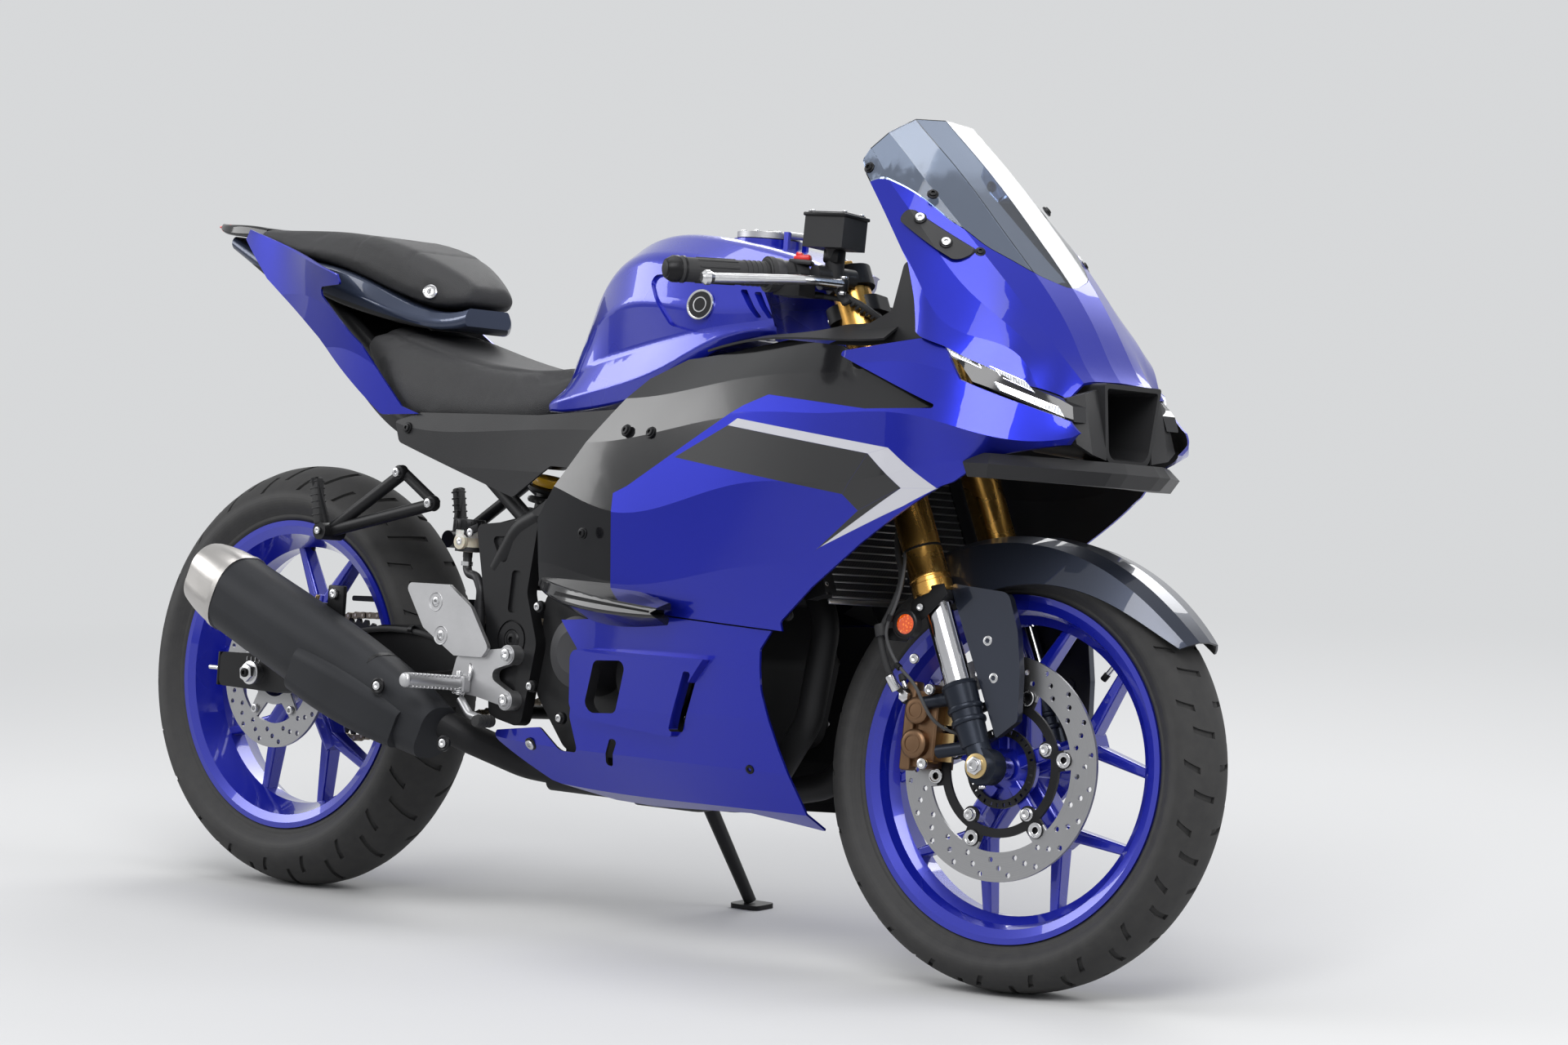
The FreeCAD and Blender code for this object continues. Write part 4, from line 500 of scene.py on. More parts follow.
def tyre_rubber(name, axes, centre, sidewall):
    """Tyre rubber: dull tread, slightly shinier sidewall with fine moulded rings."""
    f = Finish(name)
    radius = f.radius(axes, centre)
    wall = radius.below(sidewall, 8.0)
    dust = f.noise(60.0, 4.0)
    rings = (radius * 1.6).math("SINE") * 0.5 + 0.5
    f.set(Base_Color=f.mix(dust, (0.012, 0.012, 0.013, 1.0), (0.035, 0.034, 0.033, 1.0)),
          Roughness=0.78 - wall * 0.16 + dust * 0.08)
    return f.bump(f.noise(500.0, 2.0) * 0.4 + rings * wall * 0.6, 0.18, 0.0006).material


def soft_rubber(name, colour=(0.016, 0.016, 0.017)):
    """Matte moulded rubber."""
    f = Finish(name)
    f.set(Base_Color=rgba(colour), Roughness=0.62 + f.noise(40.0) * 0.15)
    return f.bump(f.noise(700.0), 0.15, 0.0004).material


def tail_finish():
    """Slate-blue paint on the tail's middle, textured black plastic on the tray below it."""
    f = Finish("Slate_tail_and_tray")
    x, z = f.along(CHASSIS, 0), f.along(CHASSIS, 2)
    painted = (z + x * 0.2).above(757.0, 1.5)
    f.set(Base_Color=f.mix(painted, rgba(GREY), (0.040, 0.052, 0.090, 1.0)), Metallic=painted * 0.5,
          Roughness=0.5 - painted * 0.22 + f.noise(9.0) * 0.06, Coat_Weight=painted * 0.6,
          Specular_IOR_Level=0.3)
    return f.bump(f.noise(700.0, 2.0) * (1 - painted), 0.2, 0.0005).material


def seat_vinyl(name, colour=(0.018, 0.018, 0.019)):
    """Embossed vinyl: small rounded grain cells with finer creases, lighter and rougher in worn patches spread
    at random.
    """
    f = Finish(name)
    cells = f.node("ShaderNodeTexVoronoi", {"feature": "DISTANCE_TO_EDGE"}, Vector=f.place(), Scale=620.0,
                   out="Distance")
    fine = f.noise(1500.0, 2.0)
    wear = f.noise(9.0, 2.0)
    f.set(Base_Color=f.mix(wear, rgba(colour), rgba([c * 1.7 for c in colour])), Roughness=0.5 + wear * 0.14,
          Specular_IOR_Level=0.35)
    return f.bump(cells * 1.6 + fine * 0.3, 0.45, 0.0009).material


def clear_lens(name, tint, roughness=0.03, alpha=1.0):
    """Clear or tinted moulded plastic that lets light through."""
    f = Finish(name)
    f.set(Base_Color=rgba(tint), Roughness=roughness, IOR=1.49, Transmission_Weight=1.0, Alpha=alpha)
    return f.material


def painted_glow(name, colour, strength):
    """Plastic with a painted glow: it gives out a little light of its own colour, though it is no lamp."""
    f = Finish(name)
    # Painted glow: the emission stands in for light the plastic sends back.
    f.set(Base_Color=rgba(colour), Roughness=0.3, Emission_Color=rgba(colour), Emission_Strength=strength)
    return f.material


BLUE = (0.007, 0.014, 0.36)
SILVER = (0.62, 0.62, 0.63)
BLACK = (0.012, 0.012, 0.013)
GREY = (0.014, 0.014, 0.015)
FENDER_BLUE = (0.030, 0.036, 0.055)
PALE = (0.68, 0.69, 0.70, 1.0)

# Printed bands on the side fairing: which colour of the look (0 pale, 1 black) and its (x, z) corners.
BANDS = (
    (0, [(332, 719), (580, 693), (613, 702), (349, 729)]),
    (0, [(580, 693), (631, 651), (678, 654), (613, 702)]),
    (0, [(495, 565), (632, 628), (678, 654), (631, 651)]),
    (1, [(235, 672), (539, 638), (580, 693), (332, 719)]),
    (1, [(539, 638), (563, 618), (631, 651), (580, 693)]),
    (1, [(490, 561), (631, 651), (563, 618)]),
)


class BikeLook(bpy.types.PropertyGroup):
    """Colours and finishes of the bike."""
    body_colour: bpy.props.FloatVectorProperty(
        name="Body colour", description="Paint of the fairing, tank, tail and wheels", subtype="COLOR",
        size=3, default=BLUE, min=0.0, max=1.0)
    fork_colour: bpy.props.FloatVectorProperty(
        name="Fork colour", description="Anodising of the fork's outer tubes", subtype="COLOR",
        size=3, default=(0.72, 0.40, 0.10), min=0.0, max=1.0)
    stripe_colour: bpy.props.FloatVectorProperty(
        name="Stripe colour", description="Pale band on the side fairing", subtype="COLOR",
        size=3, default=(0.50, 0.50, 0.54), min=0.0, max=1.0)


class BikeStage(bpy.types.PropertyGroup):
    """Camera and studio."""
    camera_place: bpy.props.FloatVectorProperty(
        name="Camera place", description="Where the camera stands", subtype="TRANSLATION", unit="LENGTH",
        size=3, default=(4.8185, -5.0851, 1.2143))
    camera_azimuth: bpy.props.FloatProperty(
        name="Azimuth", description="Direction the camera stands in, round the bike", subtype="ANGLE",
        default=0.7354660)
    camera_height: bpy.props.FloatProperty(
        name="Elevation", description="Angle the camera looks down by", subtype="ANGLE", default=0.0912076)
    camera_roll: bpy.props.FloatProperty(
        name="Roll", description="Turn of the camera about its view", subtype="ANGLE", default=-0.0076699)
    lens: bpy.props.FloatProperty(
        name="Lens", description="Focal length for a 36 mm wide frame, in millimetres",
        default=113.97, min=10.0)
    floor_shade: bpy.props.FloatProperty(
        name="Floor", description="Brightness of the pale floor", default=0.56, min=0.0, max=1.0)
    floor_fade: bpy.props.FloatProperty(
        name="Floor fade", description="Distance from the bike at which the floor is half way to white",
        subtype="DISTANCE", default=3.0, min=0.5)


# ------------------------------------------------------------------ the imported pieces
def finishes(look):
    """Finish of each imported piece, made once."""
    blue = gloss_paint("Blue_metallic_paint", look.body_colour)

    def paint(name, centre, bands=(), axes=CHASSIS, colour=look.body_colour):
        return body_paint(name + "_paint", colour, centre, bands, axes)

    bands = [(look.stripe_colour if not black else BLACK, corners) for black, corners in BANDS]
    rough = moulded_plastic("Textured_black_plastic", GREY)
    gloss = gloss_plastic("Gloss_black_plastic", (0.008, 0.008, 0.009))
    satin = coated_metal("Satin_black_metal", BLACK)
    cast = bare_metal("Silver_cast_alloy", (0.5, 0.5, 0.51), 0.42, 180.0, 0.2)
    return {
        "frame": satin, "subframe": satin, "speed_ring": satin, "brake_hose": soft_rubber("Moulded_rubber"),
        "engine": coated_metal("Black_engine_casting", (0.018, 0.018, 0.019), 0.5, 0.3, 240.0),
        "engine_covers": coated_metal("Grey_engine_cover", (0.045, 0.045, 0.048), 0.45, 0.4, 300.0),
        "radiator": satin,
        "exhaust_pipes": coated_metal("Black_exhaust_pipe", (0.014, 0.014, 0.015), 0.5, 0.4),
        "muffler": coated_metal("Matte_black_silencer", (0.020, 0.021, 0.024), 0.5, 0.4),
        "muffler_tip": bare_metal("Brushed_end_cap", (0.55, 0.53, 0.51), 0.34, 500.0, 0.1),
        "swingarm": satin, "rear_axle": bare_metal("Plated_axle", SILVER, 0.25), "rear_shock": satin,
        "rear_brake": coated_metal("Dark_caliper", (0.03, 0.03, 0.032)), "footrest_brackets": cast,
        "foot_pegs": cast, "passenger_hangers": satin, "upper_cowl": paint("Upper_cowl", (480, 0, 860)),
        "windscreen": clear_lens("Smoked_screen", (0.40, 0.48, 0.64)),
        "tail_panels": paint("Tail", (-600, 0, 860)),
        "side_covers": rough, "side_fairings": paint("Side_fairing", (330, 0, 640), bands),
        "duct_panels": gloss, "lower_cowls": paint("Lower_cowl", (200, 0, 400)),
        "fuel_tank": blue, "rider_seat": seat_vinyl("Seat_vinyl"), "pillion_seat": seat_vinyl("Seat_vinyl"),
        "undertail": tail_finish(), "tail_light": gloss,
        "headlights": gloss_plastic("Lamp_glass", (0.012, 0.012, 0.014), 0.04),
        "nose_duct": rough, "cowl_trim": rough, "instrument_panel": rough,
        "drive_chain": bare_metal("Oiled_chain", (0.20, 0.17, 0.13), 0.45),
        "fork_outers": bare_metal("Gold_anodising", look.fork_colour, 0.26, 700.0, 0.03),
        "fork_inners": bare_metal("Hard_chrome", (0.62, 0.62, 0.64), 0.1, 900.0, 0.01),
        "fork_feet": coated_metal("Fork_foot_paint", (0.016, 0.020, 0.030), 0.3, 0.5),
        "front_axle": bare_metal("Plated_axle", SILVER, 0.25), "triple_clamps": satin, "handlebars": satin,
        "grips": soft_rubber("Grip_rubber"), "levers": bare_metal("Polished_lever", (0.72, 0.72, 0.73), 0.24),
        "controls": rough, "front_fender": paint("Front_fender", FRONT_AXLE, (), FRONT, FENDER_BLUE),
        "front_caliper": bare_metal("Bronze_caliper", (0.20, 0.12, 0.07), 0.42, 250.0, 0.15),
        # The reflectors get a painted glow: they give out light though they are no lamps.
        "reflectors": painted_glow("Orange_reflector", (0.85, 0.16, 0.01), 0.25),
        "front_tyre": tyre_rubber("Front_tyre_rubber", FRONT, FRONT_AXLE, 262.0), "front_rim": blue,
        "front_disc": turned_metal("Front_disc_steel", (0.40, 0.40, 0.41), FRONT, FRONT_AXLE),
        "front_disc_carrier": satin,
        "rear_tyre": tyre_rubber("Rear_tyre_rubber", CHASSIS, REAR_AXLE, 272.0), "rear_rim": blue,
        "rear_disc": turned_metal("Rear_disc_steel", (0.40, 0.40, 0.41), CHASSIS, REAR_AXLE),
        "rear_sprocket": satin, "side_stand": satin, "fuel_cap": cast,
    }


class BIKE_OT_packed(bpy.types.Operator):
    """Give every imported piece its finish"""
    bl_idname = "bike.packed"
    bl_label = "Finish the packed pieces"

    def execute(self, context):
        for name, material in finishes(context.scene.bike_look).items():
            mesh = frame["nodes"][name].data
            mesh.materials.clear()
            mesh.materials.append(material)
        return {"FINISHED"}


# ------------------------------------------------------------------ wheels
# Half profile of each tyre as (half width, radius), rim seat to crown, and where its tread begins.
FRONT_TYRE = [(34, 217), (36, 229), (39, 232), (41.5, 235), (41.8, 238), (44, 241), (49, 247), (53.5, 252.5),
              (55, 258), (54.6, 265), (51.5, 272), (47.5, 277.5), (41, 283), (33, 287.4), (22.5, 290.6),
              (11.5, 292.5), (3.5, 293)]
REAR_TYRE = [(50, 217), (52, 229), (55, 232), (57.5, 235), (57.8, 239), (61, 243), (66, 249), (69.5, 254),
             (71, 260), (70.4, 267), (68, 275), (64, 282), (56.5, 290.5), (46, 298.5), (32, 306.5), (17, 312),
             (5, 314)]
TREAD_FROM = 10


def tyre(name, body, centre, half, material, pitches, sides=8):
    """Tyre turned from its profile, with slanted grooves sunk into its tread, staggered from side to side."""
    rows = half + [(-y, r) for y, r in half[::-1]]
    rows += [(-half[0][0] + 4, half[0][1] - 2), (half[0][0] - 4, half[0][1] - 2)]
    steps, last = pitches * sides, len(half) - 1
    bm = hoop([(r, y) for y, r in rows], steps)
    bmesh.ops.recalc_face_normals(bm, faces=bm.faces)
    middles = [((y + rows[j + 1][0]) / 2, (r + rows[j + 1][1]) / 2)
               for j, (y, r) in enumerate(rows[:2 * last + 1])]
    grooves = []
    for face in bm.faces:
        at = face.calc_center_median()
        i = int(math.atan2(at.y, at.x) / (2 * math.pi) * steps % steps)
        r = math.hypot(at.x, at.y)
        j = min(range(len(middles)), key=lambda k: abs(middles[k][0] - at.z) + abs(middles[k][1] - r))
        j, i = (j, i) if j < last else (2 * last - j, i + sides // 2)
        if r > half[TREAD_FROM][1] - 3 and ((i % sides == 0 and TREAD_FROM - 1 <= j < last - 3)
                                            or (i % sides == 3 and TREAD_FROM + 2 <= j < last)):
            grooves.append(face)
    for vert in bm.verts:
        r = math.hypot(vert.co.x, vert.co.y)
        slant = math.radians(max(0.0, r - half[TREAD_FROM][1]) * 0.16)
        vert.co.xy = Matrix.Rotation(slant, 2) @ vert.co.xy
    bmesh.ops.inset_region(bm, faces=grooves, thickness=1.1, depth=0.0)
    bmesh.ops.inset_region(bm, faces=grooves, thickness=0.5, depth=-4.0)
    piece = Piece(name, body, material)
    piece.add(bm, aim(centre, OUT[1]))
    return piece


class BIKE_OT_tyres(bpy.types.Operator):
    """Tyres with moulded sidewalls and grooved treads"""
    bl_idname = "bike.tyres"
    bl_label = "Tyres"

    def execute(self, context):
        tyre("front_tyre_tread", "front_wheel", FRONT_AXLE, FRONT_TYRE,
             tyre_rubber("Front_tyre_rubber", FRONT, FRONT_AXLE, 262.0), 22).done("front_tyre", sharp=30.0)
        tyre("rear_tyre_tread", "rear_wheel", REAR_AXLE, REAR_TYRE,
             tyre_rubber("Rear_tyre_rubber", CHASSIS, REAR_AXLE, 272.0), 22).done("rear_tyre", sharp=30.0)
        return {"FINISHED"}


class BIKE_OT_wheel_fittings(bpy.types.Operator):
    """Disc bobbins, wheel bolts, valves and hub seals"""
    bl_idname = "bike.wheel_fittings"
    bl_label = "Wheel fittings"

    def execute(self, context):
        silver, dark = plated_steel(), blackened_steel()
        front = Piece("front_wheel_fittings", "front_wheel", silver, dark)
        for i in range(6):
            front.add(hoop([(4.6, 0), (10.6, 0), (10.6, 1.2), (9.8, 2), (8.6, 2), (7.6, 1.1), (5.6, 1.1),
                            (4.6, 0.6)], 28),
                      aim(spot(FRONT_AXLE, 100, 11 + 60 * i, -65.8), OUT[-1]))
            front.add(drum(4.4, 1.0), aim(spot(FRONT_AXLE, 100, 11 + 60 * i, -61.0), OUT[-1]), 1)
        for i in range(5):
            at = spot(FRONT_AXLE, 75, 23.5 + 72 * i, -64.0)
            front.add(drum(9.5, 1.8, 8.8, soft=0.4), aim(at, OUT[-1]))
            front.add(bolt(7.4, 5.5), aim(at + OUT[-1] * 1.6, OUT[-1], 17.0 * i))
        for side in (-1, 1):
            front.add(hoop([(14, 0), (30, 0), (30, 2), (27, 3.2), (17, 3.2), (14, 2)]),
                      aim(beside(FRONT_AXLE, side * 30), OUT[side]), 1)
        valve(front, FRONT_AXLE, 200, 52)
        front.done()

        rear = Piece("rear_wheel_fittings", "rear_wheel", silver, dark)
        for i in range(5):
            rear.add(bolt(6.5, 5.0), aim(spot(REAR_AXLE, 66, 20 + 72 * i, -80.0), OUT[-1], 23.0 * i))
        for i in range(6):
            at = spot(REAR_AXLE, 40, 30 + 60 * i, 90.0)
            rear.add(nut(7.0, 7.0), aim(at, OUT[1], 11.0 * i))
            rear.add(drum(3.6, 10.0, soft=0.6), aim(at, OUT[1]))
        valve(rear, REAR_AXLE, 200, 100)
        rear.done()
        return {"FINISHED"}


def valve(piece, centre, radius, degrees):
    """Tyre valve standing in from the rim's well, with its knurled cap."""
    inward = spot(centre, 0, 0, 0) - spot(centre, 1, degrees, 0)
    foot = spot(centre, radius - 8, degrees, 6)
    piece.add(drum(6.0, 5.0, 4.5, soft=0.6), aim(foot, inward), 1)
    piece.add(drum(3.4, 20.0), aim(foot, inward))
    piece.add(drum(4.6, 11.0, soft=1.0, sides=12), aim(foot + inward * 18, inward), 1)


def plated_steel():
    """Bright zinc-plated steel of screws and nuts."""
    return bare_metal("Plated_steel", (0.66, 0.66, 0.67), 0.24, 600.0, 0.04)


def blackened_steel():
    """Dark phosphated steel of screws, washers and clips."""
    return coated_metal("Blackened_steel", (0.014, 0.014, 0.015), 0.34, 0.6)


def yellow_plating():
    """Brass-toned plating of the axle's washers and the nipples of hoses."""
    return bare_metal("Yellow_plating", (0.62, 0.46, 0.22), 0.3, 600.0, 0.05)


# ------------------------------------------------------------------ fork and brake
class BIKE_OT_fork_fittings(bpy.types.Operator):
    """Collars, dust seals, caps, axle ends, reflectors and guard bolts of the fork"""
    bl_idname = "bike.fork_fittings"
    bl_label = "Fork fittings"

    def execute(self, context):
        look = context.scene.bike_look
        silver, dark = plated_steel(), blackened_steel()
        gold = bare_metal("Gold_anodising", look.fork_colour, 0.26, 700.0, 0.03)
        navy = coated_metal("Fork_foot_paint", (0.016, 0.020, 0.030), 0.3, 0.5)
        amber = reflector_lens()
        fork = Piece("fork_fittings", "steering", gold, dark, silver, navy, yellow_plating(), amber)
        collar = [(20, -1), (25.5, -1), (27.6, 1.5), (27.6, 15), (26.6, 16), (26.6, 21),
                  (27.8, 22), (27.8, 25), (26.3, 27), (26.3, 60), (20, 60)]
        seal = [(18.7, -15), (21.5, -15), (24.5, -11), (24.5, -1.5), (19, -1.5)]
        for side in (-1, 1):
            y = side * FORK_Y
            foot = on_leg(510, y)
            fork.add(hoop(collar, 64), aim(foot, LEG_UP))
            fork.add(hoop(seal), aim(foot, LEG_UP), 1)
            fork.add(hoop([(25, 0), (26.7, 0), (26.7, 3.2), (25, 3.2)]), aim(foot + LEG_UP * 62, LEG_UP), 1)
            fork.add(hoop([(18.7, 0), (23.8, 0), (24.4, 1.5), (22.6, 5.5), (18.7, 7)]),
                     aim(on_leg(392, y), LEG_UP), 3)
            for z, r in ((362, 23.2), (346, 22.6)):
                fork.add(hoop([(15, 0), (r, 0), (r + 0.9, 1.6), (r + 0.9, 5.4), (r, 7), (15, 7)]),
                         aim(on_leg(z, y), LEG_UP), 3)
            top = on_leg(905, y) + LEG_UP * 29.5
            fork.add(drum(23.5, 4.0, soft=1.0), aim(top, LEG_UP), 1)
            fork.add(nut(13.5, 9.0, 1.4), aim(top + LEG_UP * 3.5, LEG_UP), 0)
            fork.add(bolt(6.5, 5.0), aim(top + LEG_UP * 12, LEG_UP), 2)
            for z in (880, 712):
                fork.add(bolt(5.5, 6.0), aim(on_leg(z, side * (FORK_Y + 6), -36), (-1, 0, -0.2)), 2)
            end = beside(FRONT_AXLE, side * 120)
            fork.add(drum(16.5, 1.6, soft=0.4), aim(end, OUT[side]), 4)
            fork.add(nut(12.6, 5.4, 1.0), aim(end + OUT[side] * 1.2, OUT[side], 12), 2)
            fork.add(bolt(8.6, 5.0), aim(end + OUT[side] * 6.0, OUT[side], 20), 2)
            fork.add(bolt(5.0, 4.0), aim((697, y - 14, 268), (0.2, 0, -1)), 2)
            disc = Vector((563.8, side * 132.0, 468))
            fork.add(hoop([(13, -11), (19.5, -11), (19.5, 1.5), (17.6, 2.6), (16.8, 0.4), (13, 0)]),
                     aim(disc, OUT[side]), 1)
            # Round reflector lens with a painted glow and painted glints.
            fork.add(lens_disc(17.0), aim(disc, OUT[side]), 5)
            fork.add(sheet([(-10, -13), (6, -13), (44, 26), (36, 40), (18, 36), (-12, 12)], 2.5, 0.8),
                     Matrix.Translation((575, side * 121 + (1 if side < 0 else -1), 486))
                     @ Matrix.Rotation(math.pi / 2, 4, "X"), 1)
            fork.add(bolt(5.2, 3.5), aim((580, side * 124.0, 492), OUT[side]), 2)
            for x, z in ((669, 457), (684, 409)):
                fork.add(hoop([(6, 0), (10.6, 0), (10.6, 1.0), (6, 1.0)]),
                         aim((x, side * 86.2, z), OUT[side]), 1)
                fork.add(bolt(7.2, 6.0), aim((x, side * 86.8, z), OUT[side], 14), 2)
        clamp = 885
        stem = Vector((STEM_FOOT - clamp * math.tan(RAKE), 0, clamp))
        fork.add(hoop([(8.6, 0), (19, 0), (19, 7), (17.5, 8.5), (8.6, 8.5)], 6),
                 aim(stem + LEG_UP * 12, LEG_UP), 2)
        fork.done()
        return {"FINISHED"}


def lens_disc(r):
    """Round reflector lens: a low dome pressed into facets."""
    bm = bmesh.new()
    bmesh.ops.create_cone(bm, cap_ends=True, cap_tris=True, segments=24, radius1=r,
                          radius2=r * 0.55, depth=3.0)
    bmesh.ops.subdivide_edges(bm, edges=bm.edges[:], cuts=1, use_grid_fill=True)
    return bm


def reflector_lens():
    """Orange prismatic plastic with a painted glow and painted glints: each prism is coloured and lit brighter
    in its middle and darker at its edges, standing in for light sent back out of it.
    """
    f = Finish("Amber_reflector")
    prisms = f.node("ShaderNodeTexVoronoi", {"feature": "F1"}, Vector=f.place(), Scale=260.0, out="Distance")
    shade = (prisms * 2.2).math("MINIMUM", 1.0)
    # Painted glint and painted glow: both the base colour and the emission are brighter in each prism's middle.
    f.set(Base_Color=f.mix(shade, (0.95, 0.24, 0.02, 1.0), (0.55, 0.06, 0.0, 1.0)), Roughness=0.12,
          Emission_Color=f.mix(shade, (1.0, 0.22, 0.01, 1.0), (0.4, 0.03, 0.0, 1.0)), Emission_Strength=0.35,
          Coat_Weight=1.0)
    return f.bump(prisms, 0.4, 0.001).material


def caliper_fittings(brake):
    """Piston covers, bridge, mounting bosses, pads and bleed nipple of the front caliper."""
    for z, r in ((313, 19.5), (357, 18.0)):
        brake.add(hoop([(0, 5.5), (r - 5, 5.5), (r - 2, 4.5), (r, 2), (r, -9), (0, -9)], 40),
                  aim((574, -98.5, z), OUT[-1]))
        brake.add(hoop([(r - 9, 5.3), (r - 7, 5.3), (r - 7, 6.2), (r - 9, 6.2)], 40),
                  aim((574, -98.5, z), OUT[-1]))
    brake.add(box(17, 20, 118, 4.0, 3), Matrix.Translation((560, -87, 336)))
    brake.add(box(30, 10, 92, 3.0), Matrix.Translation((585, -86, 334)))
    for z in (386, 288):
        brake.add(drum(7.0, 26, soft=1.5), aim((596, -104, z), OUT[1]), 0)
        brake.add(bolt(7.4, 6.0), aim((596, -103.5, z), OUT[-1], 9), 1)
    for z in (360, 312):
        brake.add(box(26, 3.0, 38, 1.0), Matrix.Translation((606, -71.5, z)), 3)
    brake.add(drum(3.2, 6, soft=0.6), aim((604, -78, 337), OUT[1]), 1)
    brake.add(drum(4.0, 12, 3.2, soft=0.6), aim((548, -92, 385), (-0.5, 0, 0.86)), 1)
    brake.add(drum(5.4, 10, 4.2, soft=1.2), aim((543, -92, 394), (-0.5, 0, 0.86)), 4)


def hose_fittings(brake):
    """Banjo ends, ferrules, spring guard and clamp of the brake hose."""
    brake.add(hoop([(4, 0), (10.5, 0), (10.5, 9), (4, 9)]), aim((553, -97, 374), OUT[1]), 2)
    brake.add(nut(8.2, 7.0), aim((553, -97.5, 374), OUT[-1]), 1)
    brake.add(hoop([(4.6, 0), (6.6, 0), (6.6, 20), (5.6, 22), (4.6, 22)]),
              aim((545, -110, 381), (-0.35, -0.42, 0.84)), 1)
    brake.add(hoop([(4, -5), (10.5, -5), (10.5, 5), (4, 5)]), aim((402, -147, 913), (0, 0, 1)), 2)
    brake.add(bolt(8.0, 6.0), aim((402, -147, 918), (0, 0, 1)), 1)
    brake.add(hoop([(4.6, 0), (6.6, 0), (6.6, 24), (4.6, 26)]),
              aim((408, -145, 906), (0.55, 0.22, -0.8)), 4)
    for k in range(9):
        share = k / 8
        at = Vector((421 + 40 * share, -137 + 42 * share, 892 - 28 * share))
        brake.add(hoop([(4.4, -2), (6.6, -1.2), (6.6, 1.2), (4.4, 2)], 20),
                  aim(at, (0.62, 0.66, -0.43)), 4)
    brake.add(hoop([(4.6, -8), (8.0, -8), (8.8, -5), (8.8, 5), (8.0, 8), (4.6, 8)], 28),
              aim((524, -128, 457), (-0.3, 0.0, 0.95)), 4)
    brake.add(sheet([(-8, -7), (30, -7), (46, 10), (44, 20), (26, 12), (-8, 8)], 2.5, 0.8),
              Matrix.Translation((531, -119, 452)) @ Matrix.Rotation(math.pi / 2, 4, "X"), 2)
    brake.add(bolt(6.8, 5.0), aim((578, -121, 424), OUT[-1]), 1)


def speed_sensor(brake):
    """Wheel speed sensor on its bracket."""
    lean = Matrix.Rotation(0.6, 4, "Y")
    brake.add(box(14, 8, 13, 2.0), Matrix.Translation((653, -69.5, 320)) @ lean, 4)
    brake.add(drum(4.0, 14, soft=0.8), aim((653, -70, 320), (-0.3, -0.9, 0.3)), 4)
    brake.add(box(30, 3, 11, 1.4), Matrix.Translation((652, -82, 338)) @ lean, 2)
    brake.add(bolt(5.4, 4.0), aim((640, -84, 331), OUT[-1]), 1)


def sensor_wire(dark):
    """Wire of the speed sensor, up the fork leg behind its clips."""
    run = Piece("sensor_wire", "steering", soft_rubber("Sensor_wire_sleeve", (0.05, 0.05, 0.052)), dark)
    run.add(pipe([(530, -66, 700), (520, -76, 640), (524, -96, 590), (546, -122, 560), (556, -136, 530),
                  (550, -137, 492), (536, -137, 460), (540, -131, 436), (556, -127, 412),
                  (582, -123, 392), (597, -119, 366), (606, -108, 346), (620, -90, 334),
                  (636, -83, 331)], 2.3))
    for at, way in (((542, -137, 474), (0.3, 0, 1)), ((556, -127, 412), (0.8, 0, -0.5))):
        run.add(hoop([(2.2, -4), (4.4, -4), (4.4, 4), (2.2, 4)], 20), aim(at, way), 1)
    run.done()


class BIKE_OT_front_brake(bpy.types.Operator):
    """Caliper covers, pads and bolts, the hose's ends and the speed sensor with its wire"""
    bl_idname = "bike.front_brake"
    bl_label = "Front brake fittings"

    def execute(self, context):
        silver, dark = plated_steel(), blackened_steel()
        bronze = bare_metal("Bronze_caliper", (0.20, 0.12, 0.07), 0.42, 250.0, 0.15)
        rubber = soft_rubber("Moulded_rubber")
        brake = Piece("front_brake_fittings", "steering", bronze, silver, dark, yellow_plating(), rubber)
        caliper_fittings(brake)
        hose_fittings(brake)
        speed_sensor(brake)
        brake.done()
        sensor_wire(dark)
        return {"FINISHED"}


# ------------------------------------------------------------------ cockpit
BAR_ROOT, BAR_TIP = Vector((392, 122, 921)), Vector((281, 335, 902))


def on_bar(share, side, offset=(0, 0, 0)):
    """Point along one handlebar, from its clamp to its end, moved by an offset whose Y is outwards."""
    at = BAR_ROOT.lerp(BAR_TIP, share) + Vector(offset)
    return Vector((at.x, at.y * side, at.z))


